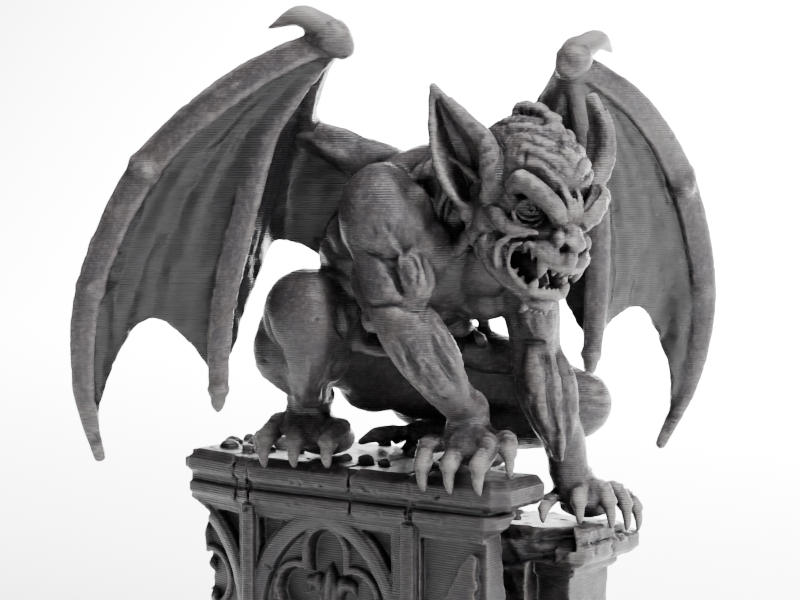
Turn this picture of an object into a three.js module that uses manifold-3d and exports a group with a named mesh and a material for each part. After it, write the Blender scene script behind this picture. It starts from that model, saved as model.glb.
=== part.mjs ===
// A printed gargoyle figurine: a winged, crouching beast on the corner of a ruined Gothic wall.
// Millimetres, +Z up. The origin is the middle of the wall's flat underside, +X runs along the
// wall's long front face and -Y is the way that face looks.
import * as THREE from "three";
import { mergeVertices } from "three/addons/utils/BufferGeometryUtils.js";
import Module from "manifold-3d";

const wasm = await Module();
wasm.setup();

// ---- driving dimensions -------------------------------------------------------------------
const WALL_TOP = 42; // height of the slab that the beast squats on
const LEDGE_TOP = 33.7; // height of the lower, broken ledge under the left hand
const FRONT = -15; // front edge of the slab
const LEFT = -35; // left end of the slab
const CORNER = 28.2; // right-hand front corner of the slab
const BACK = 11; // back edge of the slab
const PIER_LEFT = 11.5; // where the corner pier starts
const PANEL_LEFT = -19.8; // where the traceried panel starts, and the front turns back to its left
const LEFT_SETBACK = 2.8; // how far the front has turned back at the left end
const OVERHANG = 1.2; // the cornice stands this far out from the wall face
const TOUCH_GAP = 0.3; // air between the beast and the wall
const SMALL_BALL = 3.6; // radius under which a ball gets fewer facets
const SHORT_EDGE = 0.08; // edges shorter than this may close up where solids are joined

const BEAST_PLACE = [14.3, -11.2, WALL_TOP]; // point under the middle of the shoulders
const BEAST_TURN = THREE.MathUtils.degToRad(-35); // the beast looks out over the corner

const GARGOYLE_GREY = new THREE.MeshStandardMaterial({ color: 0x5b575a, roughness: 0.5, metalness: 0 });
const WALL_GREY = new THREE.MeshStandardMaterial({ color: 0x4f4b4e, roughness: 0.58, metalness: 0 });

// ---- small tools --------------------------------------------------------------------------
const vec = (p) => new THREE.Vector3(...p);

// A closed three.js geometry as a solid that can be joined and cut.
function solid(geometry, matrix) {
  const bare = geometry.index ? geometry.toNonIndexed() : geometry.clone();
  for (const name of Object.keys(bare.attributes)) if (name !== "position") bare.deleteAttribute(name);
  if (matrix) bare.applyMatrix4(matrix);
  const merged = mergeVertices(bare, 1e-4);
  const triVerts = new Uint32Array(merged.index.array);
  if (matrix && matrix.determinant() < 0)
    for (let i = 0; i < triVerts.length; i += 3)
      [triVerts[i + 1], triVerts[i + 2]] = [triVerts[i + 2], triVerts[i + 1]];
  const vertProperties = merged.attributes.position.array;
  return new wasm.Manifold(new wasm.Mesh({ numProp: 3, vertProperties, triVerts, tolerance: SHORT_EDGE }));
}

// A solid back as a three.js geometry with flat normals.
function geometryOf(made) {
  const mesh = made.getMesh();
  const geometry = new THREE.BufferGeometry();
  geometry.setAttribute("position", new THREE.BufferAttribute(new Float32Array(mesh.vertProperties), 3));
  geometry.setIndex(new THREE.BufferAttribute(new Uint32Array(mesh.triVerts), 1));
  geometry.computeVertexNormals();
  return geometry;
}

const joined = (solids) => solids.reduce((sum, next) => sum.add(next));

// A matrix from a place, turns about X, Y and Z in radians, and a scale.
function placed(at = [0, 0, 0], turn = [0, 0, 0], size = [1, 1, 1]) {
  const q = new THREE.Quaternion().setFromEuler(new THREE.Euler(...turn, "ZYX"));
  return new THREE.Matrix4().compose(vec(at), q, vec(size));
}

// A muscle or bone mass: a stretched ball, with fewer facets when it is small.
const ball = (at, size, turn, frame) => {
  const small = Math.max(...[size].flat()) < SMALL_BALL;
  const geometry = small ? new THREE.SphereGeometry(1, 6, 4) : new THREE.SphereGeometry(1, 8, 5);
  const matrix = placed(at, turn, typeof size === "number" ? [size, size, size] : size);
  return solid(geometry, frame ? frame.clone().multiply(matrix) : matrix);
};

const box = (size, at, turn) => solid(new THREE.BoxGeometry(...size), placed(at, turn));

// A tube along a smooth curve through points, with one radius for each point.
function limb(points, radii, sides = 8, steps = 2, frame) {
  const curve = new THREE.CatmullRomCurve3(points.map(vec), false, "centripetal");
  const count = steps * (points.length - 1);
  const frames = curve.computeFrenetFrames(count, false);
  const geometry = new THREE.CylinderGeometry(1, 1, 1, sides, count);
  const place = geometry.attributes.position;
  for (let i = 0; i < place.count; i++) {
    const along = THREE.MathUtils.clamp(place.getY(i) + 0.5, 0, 1);
    const ring = Math.round(along * count);
    const at = along * (radii.length - 1);
    const low = Math.min(Math.floor(at), radii.length - 2);
    const radius = THREE.MathUtils.lerp(radii[low], radii[low + 1], at - low);
    const centre = curve.getPoint(along);
    centre.addScaledVector(frames.normals[ring], place.getX(i) * radius);
    centre.addScaledVector(frames.binormals[ring], -place.getZ(i) * radius);
    place.setXYZ(i, centre.x, centre.y, centre.z);
  }
  return solid(geometry, frame);
}

// A curved web of even thickness: spot(u, v) gives a point for u and v from 0 to 1.
function web(spot, across, down, thickness) {
  const geometry = new THREE.BoxGeometry(1, 1, 1, across, down, 1);
  const place = geometry.attributes.position;
  const small = 1e-3;
  for (let i = 0; i < place.count; i++) {
    const u = place.getX(i) + 0.5;
    const v = 0.5 - place.getY(i);
    const at = spot(u, v);
    const uStep = u > 0.5 ? -small : small;
    const vStep = v > 0.5 ? -small : small;
    const alongU = spot(u + uStep, v).sub(at).multiplyScalar(Math.sign(uStep));
    const alongV = spot(u, v + vStep).sub(at).multiplyScalar(Math.sign(vStep));
    const normal = alongV.cross(alongU).normalize();
    at.addScaledVector(normal, place.getZ(i) * thickness);
    place.setXYZ(i, at.x, at.y, at.z);
  }
  return solid(geometry);
}

// ---- the wings ----------------------------------------------------------------------------
// Points of the right wing, in the beast's frame: x forward, y left, z up from the slab.
const WING = {
  root: [-6, -7, 45.5],
  elbow: [-12.5, -16.5, 51],
  wrist: [6.5, -18.5, 63.5],
  leading: [
    [6.5, -18.5, 63.5], [2, -31, 57], [-5, -42.6, 45.6],
    [-10.5, -49.8, 28.5], [-15, -50.3, 14], [-19.5, -46.8, 1.5],
  ],
  second: [[5, -19, 61.5], [-2, -25, 51], [-5, -28.5, 37.5], [-9, -30.5, 24], [-11, -30.5, 12]],
  side: [-13, -12.5, 34],
  thumb: [[6.5, -19.5, 65.2], [5.4, -23.6, 67], [2.6, -27, 65]],
};
const WEB_THICKNESS = 1.2;
const WEB_REACH = 0.95; // share of a finger that carries skin
const OUTER_BELLY = 3.2; // how far the outer web billows back between its fingers
const INNER_BELLY = 2.2;
const OUTER_SCALLOP = 0.24; // how much shorter a web is midway between its fingers
const INNER_SCALLOP = 0.3;
const WING_DROP = 2.6; // the left wing is carried lower than the right
const LEFT_SECOND = 0.88; // and its second finger is shorter

// One wing: the arm, the two long fingers, the thumb claw and two webs of skin.
function wing(lift, secondShare) {
  const raised = ([x, y, z]) => [x, y, z + lift];
  const leading = WING.leading.map(raised);
  const knuckle = vec(raised(WING.second[0]));
  const shortened = (p) => vec(raised(p)).sub(knuckle).multiplyScalar(secondShare).add(knuckle);
  const second = WING.second.map((p) => shortened(p).toArray());
  const [root, elbow, wrist, side] = [WING.root, WING.elbow, WING.wrist, WING.side].map(raised);
  const arm = [
    limb([[-2, -2, 41 + lift], root, [-9.5, -12, 48 + lift], elbow], [4.6, 3.6, 2.8, 2.4], 6, 1),
    limb([elbow, [-4, -19.2, 56 + lift], wrist], [2.2, 2.3, 2.2], 6, 1),
    ball(elbow, [3, 2.7, 2.7]),
    ball(wrist, [3.4, 3.3, 3.2]),
    limb(leading, [2.1, 2.2, 2.3, 2.1, 1.8, 0.9], 5, 1),
    limb(second, [1.4, 1.6, 1.6, 1.5, 1.1], 5, 1),
    ball(leading[2], [2.6, 2.9, 2.9]),
    ball(leading[3], [2.2, 2.5, 2.6]),
    limb(WING.thumb.map(raised), [1.9, 1.6, 0.3], 5, 1),
  ];
  const leadingCurve = new THREE.CatmullRomCurve3(leading.map(vec), false, "centripetal");
  const secondCurve = new THREE.CatmullRomCurve3(second.map(vec), false, "centripetal");
  const armCurve = new THREE.CatmullRomCurve3([knuckle, vec([-4, -19, 54.5 + lift]), vec(elbow), vec(root)]);
  const scallop = (u, depth) => 1 - depth * Math.sin(Math.PI * u);
  const outer = (u, v) => {
    const reach = WEB_REACH * (0.06 + 0.94 * v) * scallop(u, OUTER_SCALLOP * v);
    const a = leadingCurve.getPoint(reach);
    a.lerp(secondCurve.getPoint(reach), u);
    a.x -= OUTER_BELLY * Math.sin(Math.PI * u) * v;
    return a;
  };
  const inner = (u, v) => {
    const top = armCurve.getPoint(u);
    const fall = v * scallop(u, INNER_SCALLOP * v);
    const low = secondCurve.getPoint(WEB_REACH * fall);
    const flank = vec(root).lerp(vec(side), fall);
    const corner = knuckle.clone().lerp(vec(root), u);
    const spread = low.lerp(flank, u).add(top.sub(corner).multiplyScalar(1 - fall));
    spread.x -= INNER_BELLY * Math.sin(Math.PI * u) * v;
    return spread;
  };
  return joined([...arm, web(outer, 4, 6, WEB_THICKNESS), web(inner, 4, 4, WEB_THICKNESS)]);
}

// ---- the head -----------------------------------------------------------------------------
const SKULL = [14, 9, 44.6];
const HEAD_TURN = THREE.MathUtils.degToRad(12);
const HEAD_NOD = THREE.MathUtils.degToRad(22);
const HEAD_TILT = THREE.MathUtils.degToRad(-9);
const HEAD = placed(SKULL, [HEAD_TILT, HEAD_NOD, HEAD_TURN]);

// One bat ear: a long shell, hollow on the side it listens to. The left one is pricked higher.
function ear(side) {
  const prick = 1.6 * side;
  const shell = limb(
    [
      [-1.6, side * 6, -2], [-3.4, side * 9.4, 1.4],
      [-6.4, side * 11.8 - 0.6, 5 + 0.6 * prick], [-9.2, side * 13.6 - 1.2, 9 + prick],
    ],
    [3.2, 3.5, 2.3, 0.4], 7, 1, HEAD,
  );
  const hollow = limb(
    [
      [0.4, side * 9, -1.8], [-1.6, side * 12, 1.8],
      [-5, side * 13.8 - 0.6, 4.8 + 0.6 * prick], [-7.6, side * 14.6 - 1.2, 7.4 + prick],
    ],
    [2, 2.4, 1.5, 0.2], 6, 1, HEAD,
  );
  return shell.subtract(hollow);
}

const tooth = (points, girth) => limb(points, [girth, 0.75 * girth, 0.15], 5, 1, HEAD);

function head() {
  const skull = joined([
    ball([-0.5, 0, 0.2], [9.2, 8.3, 8], [0, 0, 0], HEAD),
    ball([5.4, 0, -1], [4, 7.6, 3], [0, 0, 0], HEAD),
    limb([[2, 0, -4.5], [8, 0, -5.4], [12.2, 0, -6]], [6.6, 5.2, 3.4], 8, 1, HEAD),
    limb([[-2, 0, -6], [2.4, 0, -12.2], [8.2, 0, -14.8]], [6.6, 4.4, 2.4], 8, 1, HEAD),
    ball([5.6, 4.8, -1.6], [4, 2.8, 1.9], [0, 0.2, 0.5], HEAD),
    ball([5.6, -4.8, -1.6], [4, 2.8, 1.9], [0, 0.2, -0.5], HEAD),
    ball([-4, 0, 7], [3, 1.8, 2], [0, 0, 0], HEAD),
    ball([1, 0, 7.8], [3, 1.6, 1.6], [0, 0, 0], HEAD),
    ear(1),
    ear(-1),
  ]);
  const mouth = joined([
    limb([[2, 0, -8.2], [8, 0, -10], [16, 0, -11.6]], [2.4, 2.5, 3], 7, 1, HEAD),
    ball([3.5, 0, -8.6], [4.4, 4.6, 1.8], [0, 0.15, 0], HEAD),
  ]);
  const fangs = [-1, 1].flatMap((side) => [
    tooth([[10.6, side * 2.2, -7.6], [11.2, side * 2.3, -9], [11, side * 2.2, -10.6]], 1.1),
    tooth([[8.2, side * 1.8, -13.2], [8.7, side * 2, -12], [8.6, side * 2, -10.9]], 0.9),
  ]);
  return joined([skull.subtract(mouth), ...fangs]);
}

// ---- limbs --------------------------------------------------------------------------------
// The wall's own directions, seen in the beast's frame, so that a hand can grip an edge.
const toBeast = new THREE.Matrix4().makeRotationZ(-BEAST_TURN);
toBeast.multiply(new THREE.Matrix4().makeTranslation(...BEAST_PLACE.map((n) => -n)));
const onWall = (p) => vec(p).applyMatrix4(toBeast).toArray();

// One digit from its root over its knuckle to the nail, and the claw that hooks down from it.
function digit(root, knuckle, nail, tip, girth) {
  const [a, b, c, d] = [root, knuckle, nail, tip].map(onWall);
  const bend = vec(c).lerp(vec(d), 0.5).add(vec(c).sub(vec(b)).multiplyScalar(0.25)).toArray();
  return [
    limb([a, b, c], [girth * 0.95, girth * 1.15, girth], 5, 1),
    limb([c, bend, d], [girth * 0.72, girth * 0.62, 0.15], 4, 1),
  ];
}

const HAND_EDGE = [14.9, 19.7, 24.6]; // where the right hand's claws hook over the front edge
const FOOT_EDGE = [-14.6, -8.8, -2.4]; // and the right foot's

function rightHand() {
  const wrist = onWall([19.4, -10.4, 51.5]);
  const fingers = HAND_EDGE.flatMap((x, i) => {
    const root = [17.4 + 2.4 * i, -10.8, 47.2 + 0.3 * i];
    const knuckle = [x - 0.5, -14, 46.4 + 0.4 * i];
    return digit(root, knuckle, [x, -16.5, 44.2 + 0.4 * i], [x + 0.4, -16.9, 40 + 0.2 * i], 1.5);
  });
  const clawTip = [27.4, -11, WALL_TOP + 0.4];
  const outer = digit([22.6, -8.6, 47], [25, -9.4, 46.6], [26.6, -10.4, 45], clawTip, 1.4);
  const palm = onWall([19.6, -10, 47.6]);
  return [ball(palm, [4, 3.6, 2.5]), limb([wrist, palm], [3.1, 3.2], 7, 1), ...fingers, ...outer];
}

function rightFoot() {
  const ankle = onWall([-9.8, -9, 51.5]);
  const toes = FOOT_EDGE.flatMap((x, i) => {
    const root = [-12.4 + 3.4 * i, -9.6, 47.4];
    return digit(root, [x - 0.4, -13.4, 47], [x, -16.2, 45.4], [x + 0.3, -16.8, 40.6 + 0.4 * i], 1.75);
  });
  const clawTip = [-18.6, -14.8, WALL_TOP + 0.4];
  const outer = digit([-13.6, -8.4, 46.6], [-17, -11.6, 46], [-18.4, -14, 44.4], clawTip, 1.3);
  const sole = ball(onWall([-9.8, -8.4, 46.4]), [4.4, 4.4, 3.2]);
  const heel = ball(onWall([-9.6, -4.8, 44.6]), [2.4, 3.2, 2.2]);
  return [sole, ball(ankle, 3.4), heel, ...toes, ...outer];
}

function leftHand() {
  const reach = [[-1.2, 36, -3.4], [4.6, 35.4, 4.6], [9.4, 34.8, 9.2], [13.6, 35, 12.8]];
  const fingers = reach.flatMap(([y, tipZ, tipY], i) => {
    const root = [28.4, 2.2 + 3 * i, LEDGE_TOP + 4.8 - 0.4 * i];
    const out = i ? 33.4 : 31.4;
    const nail = [out - 0.4, y, LEDGE_TOP + (i ? 2.4 : 3.2)];
    const tip = [out + 0.2, tipY, i ? LEDGE_TOP - 2.2 - 0.5 * i : LEDGE_TOP + 0.4];
    return digit(root, [out - 2.4, y + 0.4, LEDGE_TOP + 4.6 - 0.3 * i], nail, tip, 1.5);
  });
  return [ball(onWall([27, 6, LEDGE_TOP + 4]), [3.8, 4.8, 2.9]), ...fingers];
}

// The arms and legs, with both hands and the right foot; the left foot stays under the body.
function armsAndLegs() {
  const shoulderRight = [0.6, -8.8, 38.6];
  const shoulderLeft = [2.6, 12, 33.4];
  const elbowRight = [3.6, -8.6, 24.6];
  const elbowLeft = [3.4, 14.3, 17];
  const kneeRight = [-10.4, -17, 23.4];
  const kneeLeft = [-0.4, 23.4, 9.4];
  const rightWrist = onWall([19.4, -10.6, 50.5]);
  const rightForearm = [elbowRight, [6, -6.4, 19.6], onWall([19.3, -11.6, 57]), rightWrist];
  const leftWrist = onWall([27.8, 4.8, LEDGE_TOP + 5]);
  const leftForearm = [elbowLeft, [4.2, 15.9, 11.4], onWall([28, 1.8, 47.4]), leftWrist];
  return [
    ball(shoulderRight, [6.4, 6.2, 7.2]),
    limb([shoulderRight, [2, -8.6, 31], elbowRight], [5.6, 4.5, 3.9], 7, 1),
    limb(rightForearm, [3.9, 4.7, 3.5, 3], 7, 1),
    ball(shoulderLeft, [5.8, 5.4, 6]),
    limb([shoulderLeft, [3.4, 14, 25], elbowLeft], [5, 4.2, 3.6], 7, 1),
    limb(leftForearm, [3.6, 4, 3.2, 2.8], 7, 1),
    limb([[-20, -1, 15], [-16, -10.5, 19], kneeRight], [7, 6.6, 6.4], 7, 1),
    ball(kneeRight, [7, 6.8, 7]),
    limb([kneeRight, [-13, -16.4, 15.5], onWall([-9.8, -10.6, 52])], [6.2, 5.5, 3.4], 7, 1),
    limb([[-20.5, 6, 12.5], [-10, 18, 12.4], kneeLeft], [7.2, 6.6, 5], 7, 1),
    ball(kneeLeft, [5, 4.8, 4.8]),
    limb([kneeLeft, [-9, 19.6, 6.2], [-20, 11, 3.4]], [4.6, 5, 2.7], 7, 1),
    limb([[-20, 11, 3.4], [-24.5, 6.4, 2.4]], [2.7, 2], 7, 1),
    ...rightHand(),
    ...rightFoot(),
    ...leftHand(),
  ];
}

// ---- the trunk ----------------------------------------------------------------------------
function trunk() {
  const spine = [
    [-24, 3, 20], [-20.5, 3, 28], [-14.6, 2, 36.5], [-7, 1, 42.6], [0.5, 1.4, 46.2], [6, 4, 48.4],
  ];
  const knobs = spine.map((p, i) => ball(p, 1.6 + 0.25 * i * (i < 4)));
  return [
    ball([-20.6, 3.2, 14], [8, 9.4, 7.6]),
    limb([[-20, 3, 15], [-14, 3, 22], [-6, 1.5, 30.5]], [7.6, 7.6, 9], 7, 1),
    ball([-4.6, 1.2, 33.4], [10.6, 11.4, 11], [0, 0.5, 0]),
    ball([-9.5, -7.4, 31.5], [6, 5.6, 10], [0, 0.5, 0]),
    ball([-8.2, 8.7, 30.3], [6.1, 5.6, 9], [0, 0.5, 0]),
    ball([2, -3.8, 33], [5, 5.4, 5.4]),
    ball([2.6, 6, 31.4], [5, 5.4, 5.4]),
    limb([[-4, 1, 42], [4, 3.4, 43.4], [11, 7.6, 43.6]], [7.6, 6.4, 6.2], 7, 1),
    limb([[-26, 4, 12], [-31, 5.4, 6], [-30, 9, 3], [-26, 12, 2.4]], [3, 2, 1.4, 0.5], 6, 1),
    ...knobs,
  ];
}

// ---- the wall -----------------------------------------------------------------------------
// A convex outline in plan moved outwards by a distance, with mitred corners.
function grown(plan, by) {
  return plan.map((point, i) => {
    const before = plan[(i + plan.length - 1) % plan.length];
    const after = plan[(i + 1) % plan.length];
    const into = new THREE.Vector2(point[0] - before[0], point[1] - before[1]).normalize();
    const out = new THREE.Vector2(after[0] - point[0], after[1] - point[1]).normalize();
    const normalIn = new THREE.Vector2(into.y, -into.x);
    const normalOut = new THREE.Vector2(out.y, -out.x);
    const mitre = normalIn.add(normalOut);
    const length = by / (0.5 * mitre.lengthSq());
    return [point[0] + mitre.x * length, point[1] + mitre.y * length];
  });
}

// A block whose plan is grown to follow a moulding: steps of [height, projection], from the foot up.
function moulded(plan, steps) {
  const rings = steps.map(([z, by]) => grown(plan, by).map(([x, y]) => [x, y, z]));
  const sides = plan.length;
  const index = [];
  for (let ring = 0; ring < rings.length - 1; ring++)
    for (let i = 0; i < sides; i++) {
      const [a, b] = [ring * sides + i, ring * sides + ((i + 1) % sides)];
      index.push(a, b, b + sides, a, b + sides, a + sides);
    }
  const last = (rings.length - 1) * sides;
  for (let i = 1; i < sides - 1; i++) {
    index.push(0, i + 1, i);
    index.push(last, last + i, last + i + 1);
  }
  const geometry = new THREE.BufferGeometry();
  geometry.setAttribute("position", new THREE.Float32BufferAttribute(rings.flat(2), 3));
  geometry.setIndex(index);
  return solid(geometry);
}

// The cornice: a chamfered slab over a groove and a second fillet, measured down from its top.
const cornice = (top) => [
  [top - 7.6, 0], [top - 6.8, 1], [top - 5, 1], [top - 4.9, 0.2], [top - 4.4, 0.2], [top - 3.4, 1.2],
  [top - 0.9, 1.2], [top, 0.1],
];
const plinthFoot = [[0, 2.2], [3.6, 2.2], [4.4, 1.4], [5.6, 1.4], [6.6, 0]];

const outline = (left, right, front, back, cut = 1) => [
  [left + cut, front], [right - cut, front], [right, front + cut], [right, back - cut],
  [right - cut, back], [left + cut, back], [left, back - cut], [left, front + cut],
];

// A shape drawn on the front face, x along the wall and y up it, as a slab of a given depth.
function onFront(shape, face, depth) {
  const geometry = new THREE.ExtrudeGeometry(shape, { depth, bevelEnabled: false, curveSegments: 7 });
  return solid(geometry, placed([0, face, 0], [Math.PI / 2, 0, 0]));
}

// A pointed arch of a given half width, from its foot over the springing line to its apex.
function pointedArch(half, springing, foot, centre) {
  const radius = half * 1.75;
  const shape = new THREE.Shape();
  shape.moveTo(centre - half, foot);
  shape.lineTo(centre + half, foot);
  shape.lineTo(centre + half, springing);
  const turn = Math.acos((radius - half) / radius);
  shape.absarc(centre + half - radius, springing, radius, 0, turn, false);
  shape.absarc(centre - half + radius, springing, radius, Math.PI - turn, Math.PI, false);
  shape.closePath();
  return shape;
}

function ring(centre, radius, width, face, depth) {
  const shape = new THREE.Shape();
  shape.absarc(...centre, radius + width, 0, Math.PI * 2, false);
  const hole = new THREE.Path();
  hole.absarc(...centre, radius, 0, Math.PI * 2, true);
  shape.holes.push(hole);
  return onFront(shape, face, depth);
}

function wall() {
  const face = FRONT + OVERHANG;
  const [left, right, back] = [LEFT + OVERHANG, CORNER - OVERHANG, BACK - OVERHANG];
  const mainPlan = [
    [left, face + LEFT_SETBACK], [PANEL_LEFT - 0.7, face], [right - 3, face], [right - 3, back],
    [left + 1, back], [left, back - 1],
  ];
  const main = moulded(mainPlan, [...plinthFoot, ...cornice(WALL_TOP)]);
  const pierPlan = outline(PIER_LEFT + 0.8, right - 3, face - 0.2, -6.4, 0.6);
  const pierWall = moulded(pierPlan, [...plinthFoot, [35.4, 0]]);
  const pierSlab = moulded(outline(PIER_LEFT + 0.8, right, face - 0.2, -3.6, 1.6), [
    [34, -3], [35.4, -0.2], [37, -0.2], [37.1, -1], [37.6, -1], [38.6, 1.2], [41.1, 1.2], [42, 0.1],
  ]);
  const ledge = moulded(outline(16, 32.6, -1.6, 16), [
    [0, 2], [3.6, 2], [4.4, 1.2], [5.6, 1.2], [6.6, -3], [LEDGE_TOP - 7.4, -3], [LEDGE_TOP - 6.6, -1.6],
    [LEDGE_TOP - 5.4, -1.6], [LEDGE_TOP - 4.6, 1.2], [LEDGE_TOP - 0.8, 1.2], [LEDGE_TOP, 0.2],
  ]);
  // Behind the pier the main block has fallen down to the ledge.
  const fallen = box([30, 30, 30], [28.2, 11.6, LEDGE_TOP + 14.8], [0, 0, 0.12]);
  const slot = box([14, 4.2, 27], [24.5, -4.2, 19.8]);
  const stump = joined([main, pierWall]).subtract(fallen).subtract(slot);
  const middle = (PANEL_LEFT + PIER_LEFT) / 2;
  const [panelLow, panelHigh] = [9.5, 33.6];
  const panelSize = [PIER_LEFT - PANEL_LEFT - 3.4, 3, panelHigh - panelLow];
  const panel = box(panelSize, [middle, face, (panelHigh + panelLow) / 2]);
  const cut = (rest, hole) => rest.subtract(hole);
  return joined([
    [...joints(), ...raggedEnd(face), sidePanels(face), panel].reduce(cut, joined([stump, pierSlab, ledge])),
    tracery(middle, panelLow, face + 1.5),
    ...[PANEL_LEFT, PIER_LEFT + 1].map((x) => box([2.2, 1.4, 28], [x, face - 0.2, 20.4])),
    ...rubble(),
  ]);
}

// The great arch, its three foils and the bud in the middle of the sunk panel.
function tracery(middle, foot, back) {
  const [half, springing, width] = [13, 16, 1.7];
  const opening = onFront(pointedArch(half - width, springing, foot - 1, middle), back + 1, 4);
  const arch = onFront(pointedArch(half, springing, foot, middle), back, 1.7).subtract(opening);
  const foils = [[middle, 26.4], [middle - 5, 19.6], [middle + 5, 19.6]];
  const bud = new THREE.Shape();
  bud.moveTo(middle, 25);
  bud.quadraticCurveTo(middle - 3, 20, middle - 1.4, 16.5);
  bud.lineTo(middle - 1.4, foot);
  bud.lineTo(middle + 1.4, foot);
  bud.lineTo(middle + 1.4, 16.5);
  bud.quadraticCurveTo(middle + 3, 20, middle, 25);
  const below = box([32, 20, 24.1], [middle, back, 21.55]);
  const rings = foils.map((centre) => ring(centre, 3.4, 0.9, back, 1.1));
  return joined([arch.intersect(below), ...rings, onFront(bud, back, 0.9)]);
}

// The sunk field of the corner pier and of the turned bay at the left.
function sidePanels(face) {
  const pierField = box([9.2, 1.6, 23], [CORNER - 9.4, face - 0.4, 21]);
  const bayTurn = Math.atan(LEFT_SETBACK / (PANEL_LEFT - LEFT));
  const bayField = box([7.4, 1.8, 24], [LEFT + 8.4, face + 1.1, 21.4], [0, 0, -bayTurn]);
  return pierField.add(bayField);
}

// Bites out of the broken left end.
const raggedEnd = (face) =>
  [[-34.6, 30.2, 0.5], [-35.4, 23.2, -0.3], [-34.2, 13, 0.4]].map(([x, z, turn]) =>
    box([5.4, 9, 6.4], [x, face + 3, z], [0, turn, 0.5]),
  );

// Open joints and cracks through the cornice.
function joints() {
  const front = [[PANEL_LEFT - 1.2, 0.9], [PANEL_LEFT + 1.9, 0.7], [2.4, 0.6], [PIER_LEFT + 0.4, 0.9]];
  const side = [[7.6, 0.7], [-0.4, 0.6]];
  const lean = (x) => (x > 0 ? 0.12 : -0.06);
  return [
    ...front.map(([x, width]) => box([width, 2.4, 9], [x, FRONT - 0.4, WALL_TOP - 2.6], [0, lean(x), 0])),
    ...side.map(([y, width]) => box([3, width, 9], [34.4, y, LEDGE_TOP - 2], [0.1, 0, 0])),
  ];
}

// Loose stones lying on the slab.
const rubble = () =>
  [[-22, -2, 1.9], [-26.4, 4.6, 2.4], [-29, -5.4, 1.5], [-20.4, 6.4, 2.2], [-3, 7.6, 1.8], [6, 8.6, 1.5]].map(
    ([x, y, size], i) => {
      const place = placed([x, y, WALL_TOP - 0.2], [i, 2 * i, 0], [1.3, 1, 0.8]);
      return solid(new THREE.DodecahedronGeometry(size), place);
    },
  );

// ---- the object ---------------------------------------------------------------------------
const stone = wall();
const leftWing = wing(-WING_DROP, LEFT_SECOND);
const rightWing = wing(0, 1);
const mirror = new THREE.Matrix4().makeScale(1, -1, 1);
const leftWingHere = solid(geometryOf(leftWing), mirror);
const beast = joined([...trunk(), head(), rightWing, leftWingHere, ...armsAndLegs()]);

// The beast is cut back by the wall, moved a little, so that it rests on it with air between.
const shifts = [[0, 0, TOUCH_GAP], [TOUCH_GAP, 0, 0], [0, -TOUCH_GAP, 0], [0, 0, 0]];
const blocks = shifts.map((by) => {
  const moved = new THREE.Matrix4().makeTranslation(...by);
  return solid(geometryOf(stone), new THREE.Matrix4().multiplyMatrices(toBeast, moved));
});
const clear = blocks.reduce((rest, block) => rest.subtract(block), beast);
const kept = clear.decompose().sort((a, b) => b.volume() - a.volume())[0];

const gargoyle = new THREE.Mesh(geometryOf(kept), GARGOYLE_GREY);
gargoyle.name = "gargoyle";
const ruinedWall = new THREE.Mesh(geometryOf(stone), WALL_GREY);
ruinedWall.name = "ruined_wall";

// The beast stands in its own frame over the wall's corner.
const perch = new THREE.Group();
perch.name = "perch";
perch.position.set(...BEAST_PLACE);
perch.rotation.z = BEAST_TURN;
perch.add(gargoyle);

const group = new THREE.Group();
group.add(ruinedWall, perch);

export default group;
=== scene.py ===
"""The looks of a printed figurine: a winged gargoyle crouching on the corner of a ruined Gothic wall.

Each of the two solids is sculpted as voxel clay. Masses of muscle and stone are pressed into a block of
signed distances, folds, cracks and hollows are cut out of it, strokes are laid on its surface, and one
closed skin is then drawn over the result. Sculpting is in millimetres; the finished pieces are in metres.
"""

import logging
import math
from dataclasses import dataclass, field
from enum import Enum
from typing import Callable, Sequence

import bmesh
import bpy
import numpy as np
import openvdb
from mathutils import Matrix, Vector


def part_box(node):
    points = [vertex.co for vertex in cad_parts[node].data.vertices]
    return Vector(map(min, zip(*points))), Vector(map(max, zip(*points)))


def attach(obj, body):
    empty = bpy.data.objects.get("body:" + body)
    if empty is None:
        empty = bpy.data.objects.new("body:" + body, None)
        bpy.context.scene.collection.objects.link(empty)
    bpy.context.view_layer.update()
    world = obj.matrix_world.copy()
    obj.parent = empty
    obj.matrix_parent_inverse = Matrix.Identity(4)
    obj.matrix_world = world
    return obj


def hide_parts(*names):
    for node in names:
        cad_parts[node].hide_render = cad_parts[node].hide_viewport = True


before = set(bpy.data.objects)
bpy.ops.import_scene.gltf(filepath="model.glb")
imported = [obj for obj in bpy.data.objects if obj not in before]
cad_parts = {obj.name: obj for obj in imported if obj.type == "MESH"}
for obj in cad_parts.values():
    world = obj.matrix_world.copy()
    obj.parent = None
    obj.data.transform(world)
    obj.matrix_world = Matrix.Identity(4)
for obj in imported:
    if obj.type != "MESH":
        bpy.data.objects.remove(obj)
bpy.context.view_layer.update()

LOG = logging.getLogger("gargoyle")
MM = 0.001

Point = Sequence[float]
Points = Sequence[Point]


# ---- small mathematics --------------------------------------------------------------------


def smooth_min(a: np.ndarray, b: np.ndarray, blend: float) -> np.ndarray:
    """Joins two signed distances with a fillet about as wide as blend."""
    if blend <= 0:
        return np.minimum(a, b)
    near = np.maximum(blend - np.abs(a - b), 0) / blend
    return np.minimum(a, b) - near * near * (blend / 4)


def smooth_max(a: np.ndarray, b: np.ndarray, blend: float) -> np.ndarray:
    """Cuts one signed distance by another with an edge rounded by about blend."""
    return -smooth_min(-a, -b, blend)


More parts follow.
